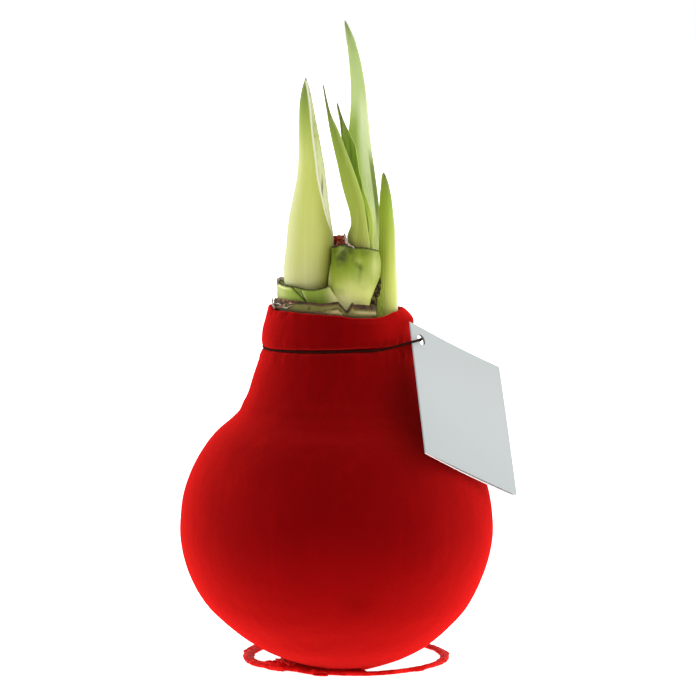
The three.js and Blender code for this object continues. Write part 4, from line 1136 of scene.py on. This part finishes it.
def tag_cord(look):
    """the elastic loop: in the neck's groove from the right round the back, then through the tag"""
    turn = np.radians(np.arange(9, 284.1, 12.5))
    left = signed_apart(turn, math.pi)
    reach = GROOVE_RADIUS + CORD_GAP + CORD_RADIUS + 0.45 * bump(left, 0, 0.9)
    z = CORD_HEIGHT + CORD_TILT * np.cos(turn) + 0.35 * bump(left, 0, 0.35)
    proud, hole = CORD_RADIUS + GAP, CARD_HOLE_INSET
    route = [
        *np.stack([reach * np.cos(turn), reach * np.sin(turn), z], 1), (13.4, -21.5, 108.45),
        on_tag(-1.6, hole + 3.6, 0.2), on_tag(0.6, hole + 2.6, proud + 0.3),
        on_tag(hole - 1.2, hole + 0.6, proud + 0.1), on_tag(hole, hole, CARD_THICKNESS * -1.2),
        on_tag(hole + 0.9, hole - 0.3, -2 * CARD_THICKNESS - CARD_FOLD_GAP - proud - 0.3), (25, -5.5, 109.4),
    ]
    centres = even_spline(route, CORD_STEPS, closed=True)
    run, strand = np.arange(CORD_STEPS)[:, None] * 0.9, circle(CORD_AROUND) * 3
    radius = CORD_SPUN + 0.03 * (np.sin(run + strand) * np.sin(run - strand))
    rings = tube_rings(centres, radius, radius, CORD_AROUND, closed=True)
    skin("tag_cord_fine", rings, look, ["tag_cord"], loops=True)


# ---- camera, lamps and floor
def make_camera():
    """the view of the reference picture: level aim a little downwards from the front"""
    camera = bpy.data.objects.new("camera", bpy.data.cameras.new("camera"))
    bpy.context.scene.collection.objects.link(camera)
    camera.location = (3.8 * MM, -1132 * MM, 214 * MM)
    aim = Vector((3.8 * MM, 0, 107.3 * MM))
    camera.rotation_euler = (aim - camera.location).to_track_quat("-Z", "Y").to_euler()
    camera.data.lens = 176.43
    camera.data.sensor_width = 36
    camera.data.clip_end = 200
    bpy.context.scene.camera = camera


def softbox(name, place, power):
    light = bpy.data.lights.new(name, "AREA")
    light.shape = "RECTANGLE"
    light.size, light.size_y = 0.5, 1.1
    light.energy = power
    item = bpy.data.objects.new(name, light)
    item.location = place
    item.rotation_euler = (Vector((0, 0, 0.08)) - Vector(place)).to_track_quat("-Z", "Y").to_euler()
    item.visible_camera = False
    bpy.context.scene.collection.objects.link(item)


def make_studio():
    scene = bpy.context.scene
    scene.view_settings.view_transform = "Standard"
    world = bpy.data.worlds.new("studio")
    world.use_nodes = True
    world.node_tree.nodes["Background"].inputs["Color"].default_value = (1, 1, 1, 1)
    world.node_tree.nodes["Background"].inputs["Strength"].default_value = 1.0
    scene.world = world
    softbox("left_box", (-0.8, 0.25, 0.35), 3.2)
    softbox("right_box", (0.8, 0.25, 0.35), 4.9)
    mesh = bpy.data.meshes.new("floor")
    reach = 40.0
    corners = [(-reach, -reach, 0), (reach, -reach, 0), (reach, reach, 0), (-reach, reach, 0)]
    mesh.from_pydata(corners, [], [(0, 1, 2, 3)])
    floor = bpy.data.objects.new("floor", mesh)
    scene.collection.objects.link(floor)
    look = Look("pale_floor", lambda look: (0.9, 0.9, 0.9, 1), Roughness=0.9, Emission_Color=(1, 1, 1, 1),
                Emission_Strength=1)
    mesh.materials.append(look.material)


make_camera()
make_studio()
wax_skin(velvet_wax())
scale_look = tissue("bulb_scale", SCALE_PAINT, 0.6, 0.00001, 0.05)
bulb_flesh(scale_look)
neck_scales(scale_look)
base_look = tissue("leaf_base", base_paint((186, 188, 98), (114, 131, 16), (28, 40, 0)), 0.6, 0.00001)
leaf_sheath(base_look)
bud_collar(tissue("collar_base", base_paint((158, 162, 86), (118, 136, 42), (30, 38, 2)), 0.6, 0.00001))
flower_bud(tissue("bud_green", BUD_PAINT, 0.42, 0.00001))
for seed, (name, (rows, bow, thickness, paint)) in enumerate(LEAVES.items(), 1):
    leaf_piece(name, rows, bow, thickness, tissue(name, paint), seed)
dry_look = tissue("dry_scale", DRY_PAINT, 0.7, 0.0001, 0.02)
dried_tip(dry_look)
scraps({
    "dry": dry_look, "base": base_look,
    "papery": tissue("papery_scale", PAPERY_PAINT, 0.7, 0.0001, 0.1),
    "husk": tissue("husk_scale", HUSK_PAINT, 0.7, 0.0001, 0.02),
    "bark": tissue("bark_scale", BARK_PAINT, 0.7, 0.0001, 0.02),
})
red_wax = waxy_red()
wire_stand(red_wax)
wax_drops(red_wax)
swing_tag(silver_card())
tag_cord(Look("black_elastic", coated((26, 6, 3), ((46, 14, 9), ((1800, 2), 0.4, 0.7))), Roughness=0.8,
              Specular_IOR_Level=0.03).material)
